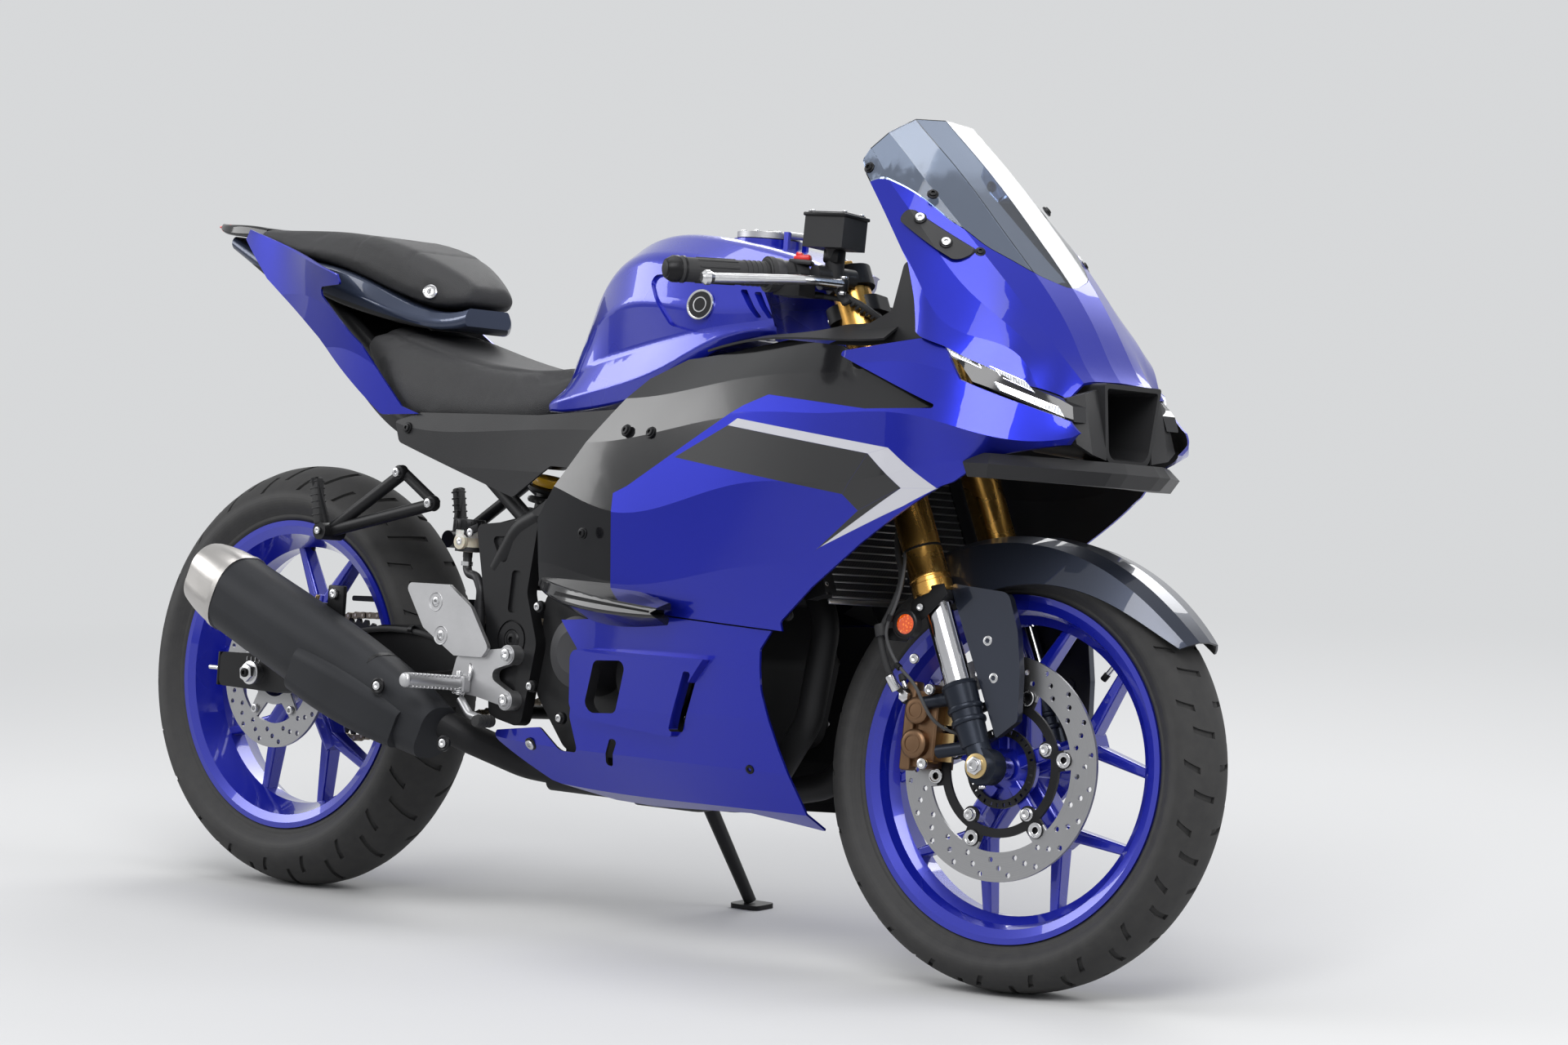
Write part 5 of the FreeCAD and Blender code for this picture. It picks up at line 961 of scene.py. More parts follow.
def bar_end(grips, bars, side):
    """Ribbed grip with its end weight, and the lever's pivot and clamp on one bar."""
    way = (on_bar(1, side) - on_bar(0, side)).normalized()
    for share in (0.47, 0.50, 0.53, 0.56, 0.59):
        grips.add(hoop([(15, -1.6), (17.3, -0.9), (17.3, 0.9), (15, 1.6)]),
                  aim(on_bar(share, side), way))
    grips.add(hoop([(15, -1.5), (20.5, -1.5), (21.5, 0), (20.5, 1.5), (15, 1.5)]),
              aim(on_bar(0.45, side), way))
    for k in range(10):
        turn = Matrix.Rotation(k * math.pi / 5, 4, "Z")
        rib = box(4.2, 1.6, 58, 0.7, 1)
        rib.transform(turn @ Matrix.Translation((0, 16.6, 0)))
        grips.add(rib, aim(on_bar(0.765, side), way))
    grips.add(hoop([(11, 0), (18.2, 0), (18.2, 3), (16.6, 4.5), (16.6, 7), (18.0, 8.5),
                    (18.0, 16), (13, 25), (11, 25)], 40), aim(on_bar(0.958, side), way), 1)
    grips.add(drum(12.4, 3.0, 10.0, soft=1.0), aim(on_bar(0.958, side) + way * 24, way), 1)
    bars.add(hoop([(11.2, -3), (21.8, -3), (22.6, 0), (22.6, 9), (21.4, 11), (11.2, 11)]),
             aim(on_bar(0.375, side), way))
    bars.add(hoop([(11.2, 0), (20.8, 0), (20.8, 2.4), (11.2, 2.4)]), aim(on_bar(0.30, side), way), 3)
    bars.add(drum(7.6, 16, soft=1.4), aim(on_bar(0.12, side, (42, 4, -18)), (0, 0, 1)), 3)
    bars.add(bolt(6.2, 4.0), aim(on_bar(0.12, side, (42, 4, -2)), (0, 0, 1)), 2)
    bars.add(nut(5.4, 5.0), aim(on_bar(0.12, side, (42, 4, -23)), (0, 0, 1)), 2)
    bars.add(box(34, 20, 13, 3.0), Matrix.Translation(on_bar(0.10, side, (24, 4, -9)))
             @ Matrix.Rotation(-0.35 * side, 4, "Z"), 3)


def switches(bars):
    """Kill switch and starter button on the right, horn, dimmer and flasher buttons on the left."""
    toe = Matrix.Rotation(0.42, 4, "Z")
    bars.add(box(23, 17, 9, 3.0, 3),
             Matrix.Translation((372, -181, 939)) @ toe @ Matrix.Rotation(-0.16, 4, "Y"), 1)
    bars.add(box(9, 15, 7, 2.2), Matrix.Translation((366, -180, 944)) @ toe, 1)
    bars.add(box(31, 25, 7, 2.5), Matrix.Translation((370, -180, 934)) @ toe)
    bars.add(drum(6.0, 4.0, soft=1.0), aim((354, -186, 909), (-0.9, -0.3, 0.2)), 4)
    for z, slot in ((924, 4), (908, 4), (894, 1)):
        bars.add(box(6, 14, 9, 2.0), Matrix.Translation((350, 190, z)) @ toe.inverted(), slot)


def brake_reservoir(bars):
    """Lid, lip and sight glass of the front brake's reservoir, and its neck."""
    lid = Matrix.Translation((406.9, -162.3, 998.6))
    bars.add(box(69, 59, 5, 1.6), lid, 3)
    bars.add(box(60, 50, 3, 1.2), lid @ Matrix.Translation((0, 0, 3.2)), 0)
    for x, y in ((-26, -20), (26, 20), (-26, 20), (26, -20)):
        bars.add(bolt(3.6, 2.4), lid @ Matrix.Translation((x, y, 4.4)), 2)
    bars.add(hoop([(5, 0), (8.5, 0), (8.5, 2), (7, 2.6), (5, 2)], 28),
             aim((374.6, -162, 972), (-1, 0, 0)), 3)
    bars.add(drum(5.4, 1.2), aim((374.4, -162, 972), (-1, 0, 0)), 4)
    bars.add(box(26, 20, 20, 4.0), Matrix.Translation((408, -160, 946)), 3)
    bars.add(bolt(5.4, 4.0), aim((403, -136, 925), (0, 0, 1)), 2)


def bar_cables(dark):
    """Throttle cables, the clutch cable and the switch leads, down towards the head."""
    cables = Piece("bar_cables", "steering", soft_rubber("Moulded_rubber"), dark)
    for dy in (0, 9):
        cables.add(pipe([(372, -157 + dy, 894), (392, -143 + dy, 894), (420, -122 + dy, 890),
                         (438, -98 + dy, 880), (445, -78 + dy, 860), (446, -64 + dy, 832),
                         (440, -54 + dy, 800)], 3.6))
    cables.add(pipe([(372, 157, 894), (392, 143, 894), (420, 120, 890), (438, 96, 880), (445, 76, 860),
                     (446, 62, 832), (440, 52, 800)], 3.6))
    cables.add(pipe([(420, 146, 905), (436, 138, 902), (456, 110, 890), (462, 78, 866), (452, 56, 834),
                     (446, 46, 800)], 3.2))
    for side in (-1, 1):
        cables.add(drum(5.6, 18, 4.2, soft=0.8), aim((373, side * 156, 894), (0.8, -0.58 * side, 0.0)), 1)
    cables.add(drum(5.8, 24, 4.4, soft=0.8), aim((410, 150, 907), (0.8, -0.5, -0.1)), 1)
    cables.done()


class BIKE_OT_cockpit(bpy.types.Operator):
    """Kill switch, buttons, reservoir lid, grip ribs, lever pivots and the bar's cables"""
    bl_idname = "bike.cockpit"
    bl_label = "Cockpit fittings"

    def execute(self, context):
        silver, dark = plated_steel(), blackened_steel()
        pod = moulded_plastic("Switch_plastic", (0.022, 0.022, 0.024), 0.5)
        red = gloss_plastic("Red_switch", (0.62, 0.012, 0.010), 0.3)
        rubber = soft_rubber("Grip_rubber")
        pale = gloss_plastic("Pale_button", (0.20, 0.20, 0.21), 0.35)
        grips = Piece("grip_ribs", "steering", rubber, dark)
        bars = Piece("bar_fittings", "steering", pod, red, silver, dark, pale)
        for side in (-1, 1):
            bar_end(grips, bars, side)
        switches(bars)
        brake_reservoir(bars)
        grips.done()
        bars.done()
        bar_cables(dark)
        return {"FINISHED"}


# ------------------------------------------------------------------ bodywork
# Screws over the bodywork: place on the right side, outward direction, head radius,
# and metal (0 silver, 1 black).
BODY_BOLTS = (
    ((640, -110, 968), (0.56, -0.59, 0.58), 5.0, 1), ((562, -144.5, 1008), (0.42, -0.68, 0.6), 6.5, 0),
    ((606, -140, 977), (0.53, -0.61, 0.59), 6.5, 0), ((453, -129, 1075), (0.02, -0.95, 0.3), 5.5, 1),
    ((560, -120, 1042), (0.5, -0.55, 0.66), 5.5, 1), ((168, -212, 704), (-0.16, -0.9, 0.4), 6.5, 1),
    ((116, -206, 705), (-0.16, -0.93, 0.3), 6.5, 1), ((-372, -150.5, 691), (-0.1, -1, 0.1), 6.0, 1),
    ((-70, -157, 260), (-0.05, -0.83, -0.56), 7.5, 0), ((60, -219, 560), (0, -1, 0), 6.0, 1),
    ((210, -222, 474), (0, -1, 0.1), 6.0, 1), ((430, -199, 474), (0.3, -0.95, -0.1), 6.0, 1),
    ((340, -150, 262), (0.15, -0.9, -0.4), 6.5, 1), ((-820, -62, 955), (-0.3, -0.92, 0.1), 5.0, 1),
    ((-588, -136, 905), (-0.1, -0.9, 0.4), 5.0, 1), ((708, -196, 705), (0.5, -0.75, -0.4), 5.0, 1),
)


class BIKE_OT_body_bolts(bpy.types.Operator):
    """Screws over the fairing, the screen and the tail"""
    bl_idname = "bike.body_bolts"
    bl_label = "Bodywork screws"

    def execute(self, context):
        silver, dark = plated_steel(), blackened_steel()
        screws = Piece("bodywork_screws", "chassis", silver, dark)
        for (x, y, z), (dx, dy, dz), r, slot in BODY_BOLTS:
            for side in (-1, 1):
                at = aim((x, -y * side, z), (dx, -dy * side, dz), 13.0 * r)
                screws.add(hoop([(r * 0.7, -2.0), (r + 2.2, -2.0), (r + 2.2, 0.2), (r + 1.4, 0.8),
                                 (r * 0.7, 0.8)], 28), at, 1)
                screws.add(bolt(r, 3.2), at, slot)
        screws.done()
        return {"FINISHED"}


class BIKE_OT_tank_fittings(bpy.types.Operator):
    """Side roundels of the tank and its filler cap"""
    bl_idname = "bike.tank_fittings"
    bl_label = "Tank fittings"

    def execute(self, context):
        silver, dark = plated_steel(), blackened_steel()
        gloss = gloss_plastic("Gloss_black_plastic", (0.008, 0.008, 0.009))
        discs = Piece("tank_roundels", "chassis", silver, gloss)
        for side in (-1, 1):
            at = aim((171, side * 135.2, 884), (0.15, side * 0.97, 0.15))
            discs.add(hoop([(18.0, -1), (21.6, -1), (21.6, 1.4), (20.9, 2.3), (19.2, 2.3), (18.4, 1.6),
                            (18.0, 1.0)], 64), at)
            discs.add(hoop([(0, 1.9), (6, 1.8), (14, 1.4), (18.2, 1.0), (18.2, -1), (0, -1)], 64), at, 1)
            discs.add(hoop([(9.2, 1.3), (10.8, 1.3), (10.8, 2.1), (9.2, 2.2)], 64), at)
        discs.done()
        cap = Piece("fuel_cap_fittings", "fuel_cap", silver, dark)
        top = Vector((165, 0, 993.5))
        for i in range(7):
            turn = math.radians(26 + i * 360 / 7)
            cap.add(bolt(3.8, 3.0), aim(top + Vector((36 * math.cos(turn), 36 * math.sin(turn), -0.2))))
        cap.add(hoop([(22, -0.5), (28.5, -0.5), (27.5, 1.8), (24, 2.4), (22, 1.6)]), aim(top))
        cap.add(sheet([(-21, -9), (14, -9), (21, 0), (14, 9), (-21, 9)], 3.4, 1.0), aim(top))
        cap.add(drum(4.6, 4.4, soft=0.6), aim(top + Vector((4, 0, 0))), 1)
        cap.add(box(1.4, 5.6, 0.8, 0.2), Matrix.Translation(top + Vector((4, 0, 4.5))))
        cap.done()
        return {"FINISHED"}


# Lamp bars on the right: corners top rear, top front, low front, low rear of each bar's face.
LAMP_BARS = (
    ((667, -192, 835.5), (762, -147, 799), (771, -140, 787), (676, -192, 826)),
    ((731, -170, 795.5), (800, -122.5, 769), (807, -119, 757.5), (741, -168.5, 785)),
)
LAMP_OUT = Vector((0.6, -0.68, 0.42))


class BIKE_OT_lamps(bpy.types.Operator):
    """Light guides of the headlamps, their rims, and the red tail lens"""
    bl_idname = "bike.lamps"
    bl_label = "Lamps"

    def execute(self, context):
        guide = light_guide()
        chrome = bare_metal("Lamp_reflector", (0.75, 0.75, 0.76), 0.12, 900.0, 0.02)
        red = tail_lens()
        front = Piece("headlamp_light_guides", "chassis", guide, chrome)
        for side in (-1, 1):
            for bar in LAMP_BARS:
                corner = [Vector((x, -y * side, z)) for x, y, z in bar]
                out = Vector((LAMP_OUT.x, -LAMP_OUT.y * side, LAMP_OUT.z))
                rings = []
                middle = sum(corner, Vector()) / 4
                for shrink, lift in ((1.04, -5.0), (1.04, 0.2), (1.0, 1.1), (0.96, 1.4)):
                    rings.append([middle + (p - middle) * shrink + out * lift for p in corner])
                front.add(skin(rings))
                for share in (0.12, 0.36, 0.6, 0.84):
                    high, low = corner[0].lerp(corner[1], share), corner[3].lerp(corner[2], share)
                    rib = (high - low).normalized()
                    front.add(drum(0.7, (high - low).length * 0.8, sides=8),
                              aim(low.lerp(high, 0.1) + out * 1.6, rib), 1)
                for a, b in ((corner[0], corner[1]), (corner[3], corner[2])):
                    front.add(drum(0.8, (b - a).length, sides=8), aim(a + out * 1.1, b - a), 1)
        front.done()
        tail = Piece("tail_lens", "chassis", red, gloss_plastic("Gloss_black_plastic", (0.008, 0.008, 0.009)))
        rings = []
        for x, half, low, high in ((-940, 30, 979.5, 986), (-930, 35.5, 975.5, 986.6),
                                   (-906, 45, 971.5, 985.8), (-872, 49.5, 970.4, 983),
                                   (-858, 50.5, 970.2, 978)):
            rings.append([(x, half + 0.8, low), (x, half + 0.2, (low + high) / 2), (x, half - 2.6, high),
                          (x, 2.6 - half, high), (x, -half - 0.2, (low + high) / 2), (x, -half - 0.8, low)])
        tail.add(skin(rings))
        for k in range(9):
            tail.add(box(5.0, 7.0, 3.4, 0.8), Matrix.Translation((-941.0, -28 + 7 * k, 982.5)))
        tail.done()
        return {"FINISHED"}


def light_guide():
    """Clear ribbed acrylic with pale light in it."""
    f = Finish("Clear_light_guide")
    ribs = (f.along(CHASSIS, 0) * 1.9).math("SINE") * 0.5 + 0.5
    f.set(Base_Color=f.mix(ribs, (0.80, 0.82, 0.84, 1.0), (0.42, 0.44, 0.47, 1.0)), Roughness=0.1,
          Emission_Color=f.mix(ribs, (0.95, 0.97, 1.0, 1.0), (0.25, 0.27, 0.30, 1.0)), Emission_Strength=0.3,
          Coat_Weight=1.0)
    return f.bump(ribs, 0.3, 0.0012).material


def tail_lens():
    """Dark red lens with an upright prism pattern."""
    f = Finish("Red_tail_lens")
    prisms = (f.along(CHASSIS, 1) * 1.5).math("SINE") * 0.5 + 0.5
    f.set(Base_Color=f.mix(prisms, (0.30, 0.004, 0.004, 1.0), (0.55, 0.012, 0.010, 1.0)), Roughness=0.14,
          Emission_Color=(0.6, 0.01, 0.01, 1.0), Emission_Strength=0.12, Coat_Weight=1.0)
    return f.bump(prisms, 0.25, 0.001).material


# ------------------------------------------------------------------ running gear
DRIVE = Vector((-60.0, 86.0, 398.0))
WHEEL_SPROCKET = Vector((-690.0, 86.0, 314.0))
CHAIN_R, DRIVE_R = 93.0, 36.0
CHAIN_PITCH = 15.875


def chain_stations():
    """Pins of the chain, one pitch apart: the place of each and the way the chain runs there."""
    reach = DRIVE - WHEEL_SPROCKET
    span, slope = math.hypot(reach.x, reach.z), math.atan2(reach.z, reach.x)
    open_angle = math.acos((CHAIN_R - DRIVE_R) / span)
    straight = span * math.sin(open_angle)
    rear, front = CHAIN_R * (2 * math.pi - 2 * open_angle), DRIVE_R * 2 * open_angle
    total = rear + front + 2 * straight
    count = 2 * round(total / CHAIN_PITCH / 2)
    for i in range(count):
        s = i * total / count
        if s < rear:
            t = slope + open_angle + s / CHAIN_R
            yield WHEEL_SPROCKET, CHAIN_R, t, 0.0
        elif s < rear + straight:
            yield WHEEL_SPROCKET, CHAIN_R, slope - open_angle, s - rear
        elif s < rear + straight + front:
            yield DRIVE, DRIVE_R, slope - open_angle + (s - rear - straight) / DRIVE_R, 0.0
        else:
            yield DRIVE, DRIVE_R, slope + open_angle, s - rear - straight - front


class BIKE_OT_chain(bpy.types.Operator):
    """Roller chain, link by link"""
    bl_idname = "bike.chain"
    bl_label = "Drive chain"

    def execute(self, context):
        plate = bare_metal("Oiled_chain", (0.20, 0.17, 0.13), 0.45)
        pin = bare_metal("Chain_pins", (0.42, 0.38, 0.32), 0.35)
        chain = Piece("drive_chain_links", "chassis", plate, pin)
        pins = []
        for middle, r, t, run in chain_stations():
            at = middle + Vector((r * math.cos(t), 0, r * math.sin(t)))
            pins.append(at + Vector((-math.sin(t), 0, math.cos(t))) * run)
        half = [(-4.6, 1.8), (-3.0, 4.4), (0, 5.2), (3.0, 4.2), (7.9, 3.4), (12.9, 4.2), (15.9, 5.2),
                (18.9, 4.4), (20.5, 1.8)]
        outline = [(x, -y) for x, y in half] + half[::-1]
        for i, at in enumerate(pins):
            way = pins[(i + 1) % len(pins)] - at
            turn = Matrix.Rotation(-math.atan2(way.z, way.x), 4, "Y") @ Matrix.Rotation(math.pi / 2, 4, "X")
            inner, outer = (6.3, 7.9) if i % 2 else (4.5, 6.1)
            for side in (-1, 1):
                shift = Vector((0, outer if side > 0 else -inner, 0))
                chain.add(sheet(outline, outer - inner), Matrix.Translation(at + shift) @ turn)
            chain.add(drum(2.4, 17.4, sides=8), aim(at - Vector((0, 8.7, 0)), OUT[1]), 1)
            chain.add(drum(5.0, 8.6, sides=10), aim(at - Vector((0, 4.3, 0)), OUT[1]))
        chain.done("drive_chain")
        return {"FINISHED"}


class BIKE_OT_shock(bpy.types.Operator):
    """Rear shock: spring, body, collars and eyes"""
    bl_idname = "bike.shock"
    bl_label = "Rear shock"

    def execute(self, context):
        silver, dark = plated_steel(), blackened_steel()
        coil = gloss_plastic("Spring_enamel", (0.012, 0.012, 0.013), 0.25)
        yellow = gloss_plastic("Yellow_collar", (0.75, 0.42, 0.02), 0.3)
        low, high = Vector((-262, 0, 436)), Vector((-215, 0, 660))
        u = (high - low).normalized()
        unit = Piece("rear_shock_unit", "chassis", coil, silver, dark, yellow)
        unit.add(spring(low + u * 52, low + u * 178, 25, 5.2, 7))
        unit.add(drum(9, 180, soft=1.0), aim(low + u * 2, u), 1)
        unit.add(drum(17, 100, soft=2.0), aim(low + u * 90, u), 2)
        for s, r in ((42, 32), (180, 32)):
            unit.add(hoop([(9, 0), (r - 3, 0), (r, 3), (r, 7), (r - 4, 9), (9, 9)]), aim(low + u * s, u), 2)
        unit.add(hoop([(17, 0), (27, 0), (28, 2), (28, 10), (27, 12), (17, 12)]), aim(low + u * 190, u), 3)
        for at in (low, high):
            unit.add(hoop([(6, -16), (13, -16), (14, -14), (14, 14), (13, 16), (6, 16)]), aim(at, OUT[1]), 2)
            unit.add(drum(5.8, 40, soft=1.0), aim(at - Vector((0, 20, 0)), OUT[1]), 1)
        unit.done("rear_shock")
        return {"FINISHED"}


def axle_ends(gear, side):
    """Rear axle's end, chain adjuster and swingarm pivot of one side."""
    out = OUT[side]
    gear.add(drum(17.5, 2.0, soft=0.5), aim(beside(REAR_AXLE, side * 130), out), 0)
    gear.add(nut(14.0, 9.0, 1.2), aim(beside(REAR_AXLE, side * 131.5), out, 10), 0)
    gear.add(bolt(7.0, 4.0), aim(beside(REAR_AXLE, side * 140), out), 1)
    gear.add(drum(3.4, 34, sides=16), aim((-770, side * 108, 315), (-1, 0, 0)), 0)
    gear.add(nut(6.4, 6.0), aim((-774, side * 108, 315), (-1, 0, 0)), 0)
    gear.add(box(5, 22, 50, 1.5), Matrix.Translation((-774.5, side * 107.5, 315)), 1)
    for k in range(5):
        gear.add(box(1.2, 1.0, 6, 0.2, 1), Matrix.Translation((-712 + 9 * k, side * 118.4, 334)), 0)
    gear.add(hoop([(9, 0), (14, 0), (14, 3), (12, 5), (9, 5)]),
             aim(beside(PIVOT, side * 134.5), out), 1)
    gear.add(bolt(9.5, 5.5), aim(beside(PIVOT, side * 134), out), 1)
    gear.add(hoop([(3, 0), (7.4, 0), (7.4, 8), (6, 10), (3, 10)]),
             aim((-560, side * 116, 318), out), 1)


def hanger_screws(gear, side):
    """Screws and washers of the footrest hanger, the heel guard and the passenger's hanger."""
    out = OUT[side]
    for x, z in ((-128, 381), (-126, 317)):
        gear.add(hoop([(8, 0), (12, 0), (12, 1.6), (8, 1.6)]), aim((x, side * 157.6, z), out), 3)
        gear.add(bolt(8.6, 6.0), aim((x, side * 157.6, z), out, x), 0)
    for x, z in ((-276, 446), (-261, 399)):
        gear.add(hoop([(7.5, 0), (13.8, 0), (13.2, 1.0), (9.4, -1.6), (7.5, -1.6)], 40),
                 aim((x, side * 160.8, z), out), 3)
        gear.add(bolt(7.4, 5.0), aim((x, side * 156.5, z), out, z), 0)
    for x, z in ((-395, 626), (-325, 585)):
        gear.add(drum(11.5, 12, 10.5, soft=2.0), aim((x, side * 129, z), out), 1)
        gear.add(bolt(6.8, 5.0), aim((x, side * 141, z), out, x), 0)


def rider_peg(gear, side):
    """Serrated top and underside of the rider's peg, its pivot and return spring."""
    start, end = Vector((-212, side * 170, 334)), Vector((-222, side * 262, 336))
    way = (end - start).normalized()
    for k in range(12):
        at = start + way * (8 + 6.8 * k)
        for lift, drop in ((9.4, 0), (-9.4, 1)):
            gear.add(box(15, 2.6, 3.4, 0.8, 1),
                     Matrix.Translation(at + Vector((0, 0, lift * 0.98 + drop))), 3)
    gear.add(box(19, 88, 8, 2.5), Matrix.Translation((start + end) / 2)
             @ Matrix.Rotation(side * 0.11, 4, "Z"), 3)
    gear.add(drum(11.5, 6, 9.0, soft=1.6), aim(end - way * 2, way), 3)
    gear.add(drum(5.0, 34, soft=1.0), aim((-212, side * 166, 318), (0, 0, 1)), 0)
    gear.add(spring((-212, side * 166, 320), (-212, side * 166, 330), 8.5, 1.3, 3), slot=0)
    gear.add(box(30, 15, 24, 4.0), Matrix.Translation((-214, side * 161, 334)), 3)


def passenger_peg(gear, side):
    """Passenger's peg with its ribbed rubber, folded up."""
    gear.add(box(13, 18, 70, 4.0, 3), Matrix.Translation((-553, side * 145, 576))
             @ Matrix.Rotation(-0.21, 4, "Y"), 4)
    for k in range(6):
        gear.add(box(14.4, 19.4, 2.6, 1.0, 1),
                 Matrix.Translation((-549 - 2.1 * k, side * 145, 556 + 9.6 * k))
                 @ Matrix.Rotation(-0.21, 4, "Y"), 4)
    gear.add(bolt(5.5, 4.0), aim((-540, side * 153, 533), OUT[side]), 0)


def pedal_end(gear, side):
    """Ribbed rubber on the toe end of the pedal or the gear lever."""
    out = OUT[side]
    gear.add(drum(8.2, 34, soft=1.4), aim((-142, side * 164, 286), out), 4)
    for k in range(4):
        gear.add(hoop([(6, -1), (9.2, -1), (9.2, 1), (6, 1)], 24),
                 aim((-142, side * (170 + 7 * k), 286), out), 4)


def control_rods(gear):
    """Links of the brake pedal and the gear lever, with the lever's rod ends."""
    gear.add(pipe([(-214, -158, 316), (-196, -160, 340), (-206, -150, 372), (-220, -134, 360)],
                  3.0), slot=0)
    gear.add(pipe([(-176, 164, 292), (-150, 158, 300), (-100, 150, 330), (-62, 140, 352)], 4.0), slot=0)
    for at in ((-176, 164, 292), (-62, 140, 352)):
        gear.add(hoop([(3, -6), (7.5, -6), (8.4, 0), (7.5, 6), (3, 6)], 28), aim(at, OUT[1]), 1)


def rear_brake_fittings(gear):
    """Reservoir's clamp, caliper screws and piston cap, and the rear hose with its clips."""
    gear.add(hoop([(6.6, 0), (8.4, 0), (8.4, 6), (6.6, 6)]), aim((-262, -118, 500), (0, 0, 1)), 0)
    gear.add(sheet([(-6, -6), (34, 10), (34, 22), (-6, 8)], 3.0, 1.0),
             Matrix.Translation((-262, -133, 540)) @ Matrix.Rotation(math.pi / 2, 4, "X"), 1)
    gear.add(bolt(6.0, 4.0), aim((-240, -136, 548), OUT[-1]), 0)
    for dx in (-24, 24):
        gear.add(bolt(7.0, 6.0), aim((-616 + dx, -102, 398 + dx * 0.2), OUT[-1]), 0)
    gear.add(drum(15, 5.0, soft=1.4), aim((-616, -101, 400), OUT[-1]), 1)
    gear.add(drum(3.6, 14, 3.0, soft=0.6), aim((-600, -92, 424), (0.3, 0, 0.95)), 2)
    gear.add(pipe([(-220, -126, 386), (-228, -122, 350), (-300, -122, 396), (-420, -122, 402),
                   (-520, -124, 380), (-590, -112, 392), (-606, -104, 408)], 4.2), slot=4)
    for at, way in (((-360, -122, 401), (-1, 0, 0)), ((-500, -123.5, 386), (-1, 0, -0.3))):
        gear.add(hoop([(4.4, -4), (6.6, -4), (6.6, 4), (4.4, 4)], 24), aim(at, way), 1)


def reservoir_cup(silver, dark):
    """Rear fluid cup with its ribbed cap and clamp."""
    cup = Piece("rear_reservoir_cup", "chassis", reservoir_plastic(), dark, silver)
    cup.add(hoop([(0, 0), (14, 0), (18.6, 5), (19.4, 9), (19.4, 31), (18.5, 32), (0, 32)], 40),
            aim((-262, -118, 519.6)), 0)
    cup.add(hoop([(0, 0), (21.5, 0), (22.4, 1.2), (22.4, 13), (21, 15), (0, 15)], 40),
            aim((-262, -118, 551.5)), 1)
    for k in range(18):
        rib = box(1.4, 1.8, 11, 0.4, 1)
        rib.transform(Matrix.Rotation(k * math.pi / 9, 4, "Z") @ Matrix.Translation((22.4, 0, 7)))
        cup.add(rib, aim((-262, -118, 551.5)), 1)
    cup.add(hoop([(5, 0), (11, 0), (11, 6), (5, 6)], 32), aim((-258, -135, 534), OUT[-1]), 0)
    cup.add(bolt(5.6, 4.0), aim((-258, -138, 534), OUT[-1]), 2)
    cup.done()


class BIKE_OT_running_gear(bpy.types.Operator):
    """Fasteners and small parts of the swingarm, pegs, pedals, brackets and rear brake"""
    bl_idname = "bike.running_gear"
    bl_label = "Running gear fittings"

    def execute(self, context):
        silver, dark = plated_steel(), blackened_steel()
        cast = bare_metal("Silver_cast_alloy", (0.5, 0.5, 0.51), 0.42, 180.0, 0.2)
        rubber = soft_rubber("Moulded_rubber")
        gear = Piece("running_gear_fittings", "chassis", silver, dark, yellow_plating(), cast, rubber)
        for side in (-1, 1):
            for fit in (axle_ends, hanger_screws, rider_peg, passenger_peg, pedal_end):
                fit(gear, side)
        control_rods(gear)
        rear_brake_fittings(gear)
        gear.done()
        reservoir_cup(silver, dark)
        return {"FINISHED"}


def reservoir_plastic():
    """Milky translucent plastic with the fluid showing as a darker band."""
    f = Finish("Milky_reservoir")
    level = f.along(CHASSIS, 2).below(540.0, 1.5)
    f.set(Base_Color=f.mix(level, (0.62, 0.60, 0.56, 1.0), (0.52, 0.46, 0.36, 1.0)), Roughness=0.32,
          Subsurface_Weight=0.1)
    return f.bump(f.noise(300.0), 0.05, 0.0005).material


MUFFLER_A, MUFFLER_B = Vector((-232, -186, 262)), Vector((-700, -206, 452))


def muffler_axes():
    """Directions along the silencer, up from it and out from it."""
    axis = (MUFFLER_B - MUFFLER_A).normalized()
    up = axis.cross(Vector((0, 1, 0))).normalized()
    up = up if up.z > 0 else -up
    return axis, up, axis.cross(up)


def muffler_ring(share, wide, tall, steps=40, square=2.6):
    """Ring of points round the silencer, a rounded square whose corners follow a power."""
    _, up, out = muffler_axes()
    middle = MUFFLER_A.lerp(MUFFLER_B, share)
    ring = []
    for i in range(steps):
        t = 2 * math.pi * i / steps
        c, s = math.cos(t), math.sin(t)
        ring.append(middle + out * wide * math.copysign(abs(c) ** (2 / square), c)
                    + up * tall * math.copysign(abs(s) ** (2 / square), s))
    return ring


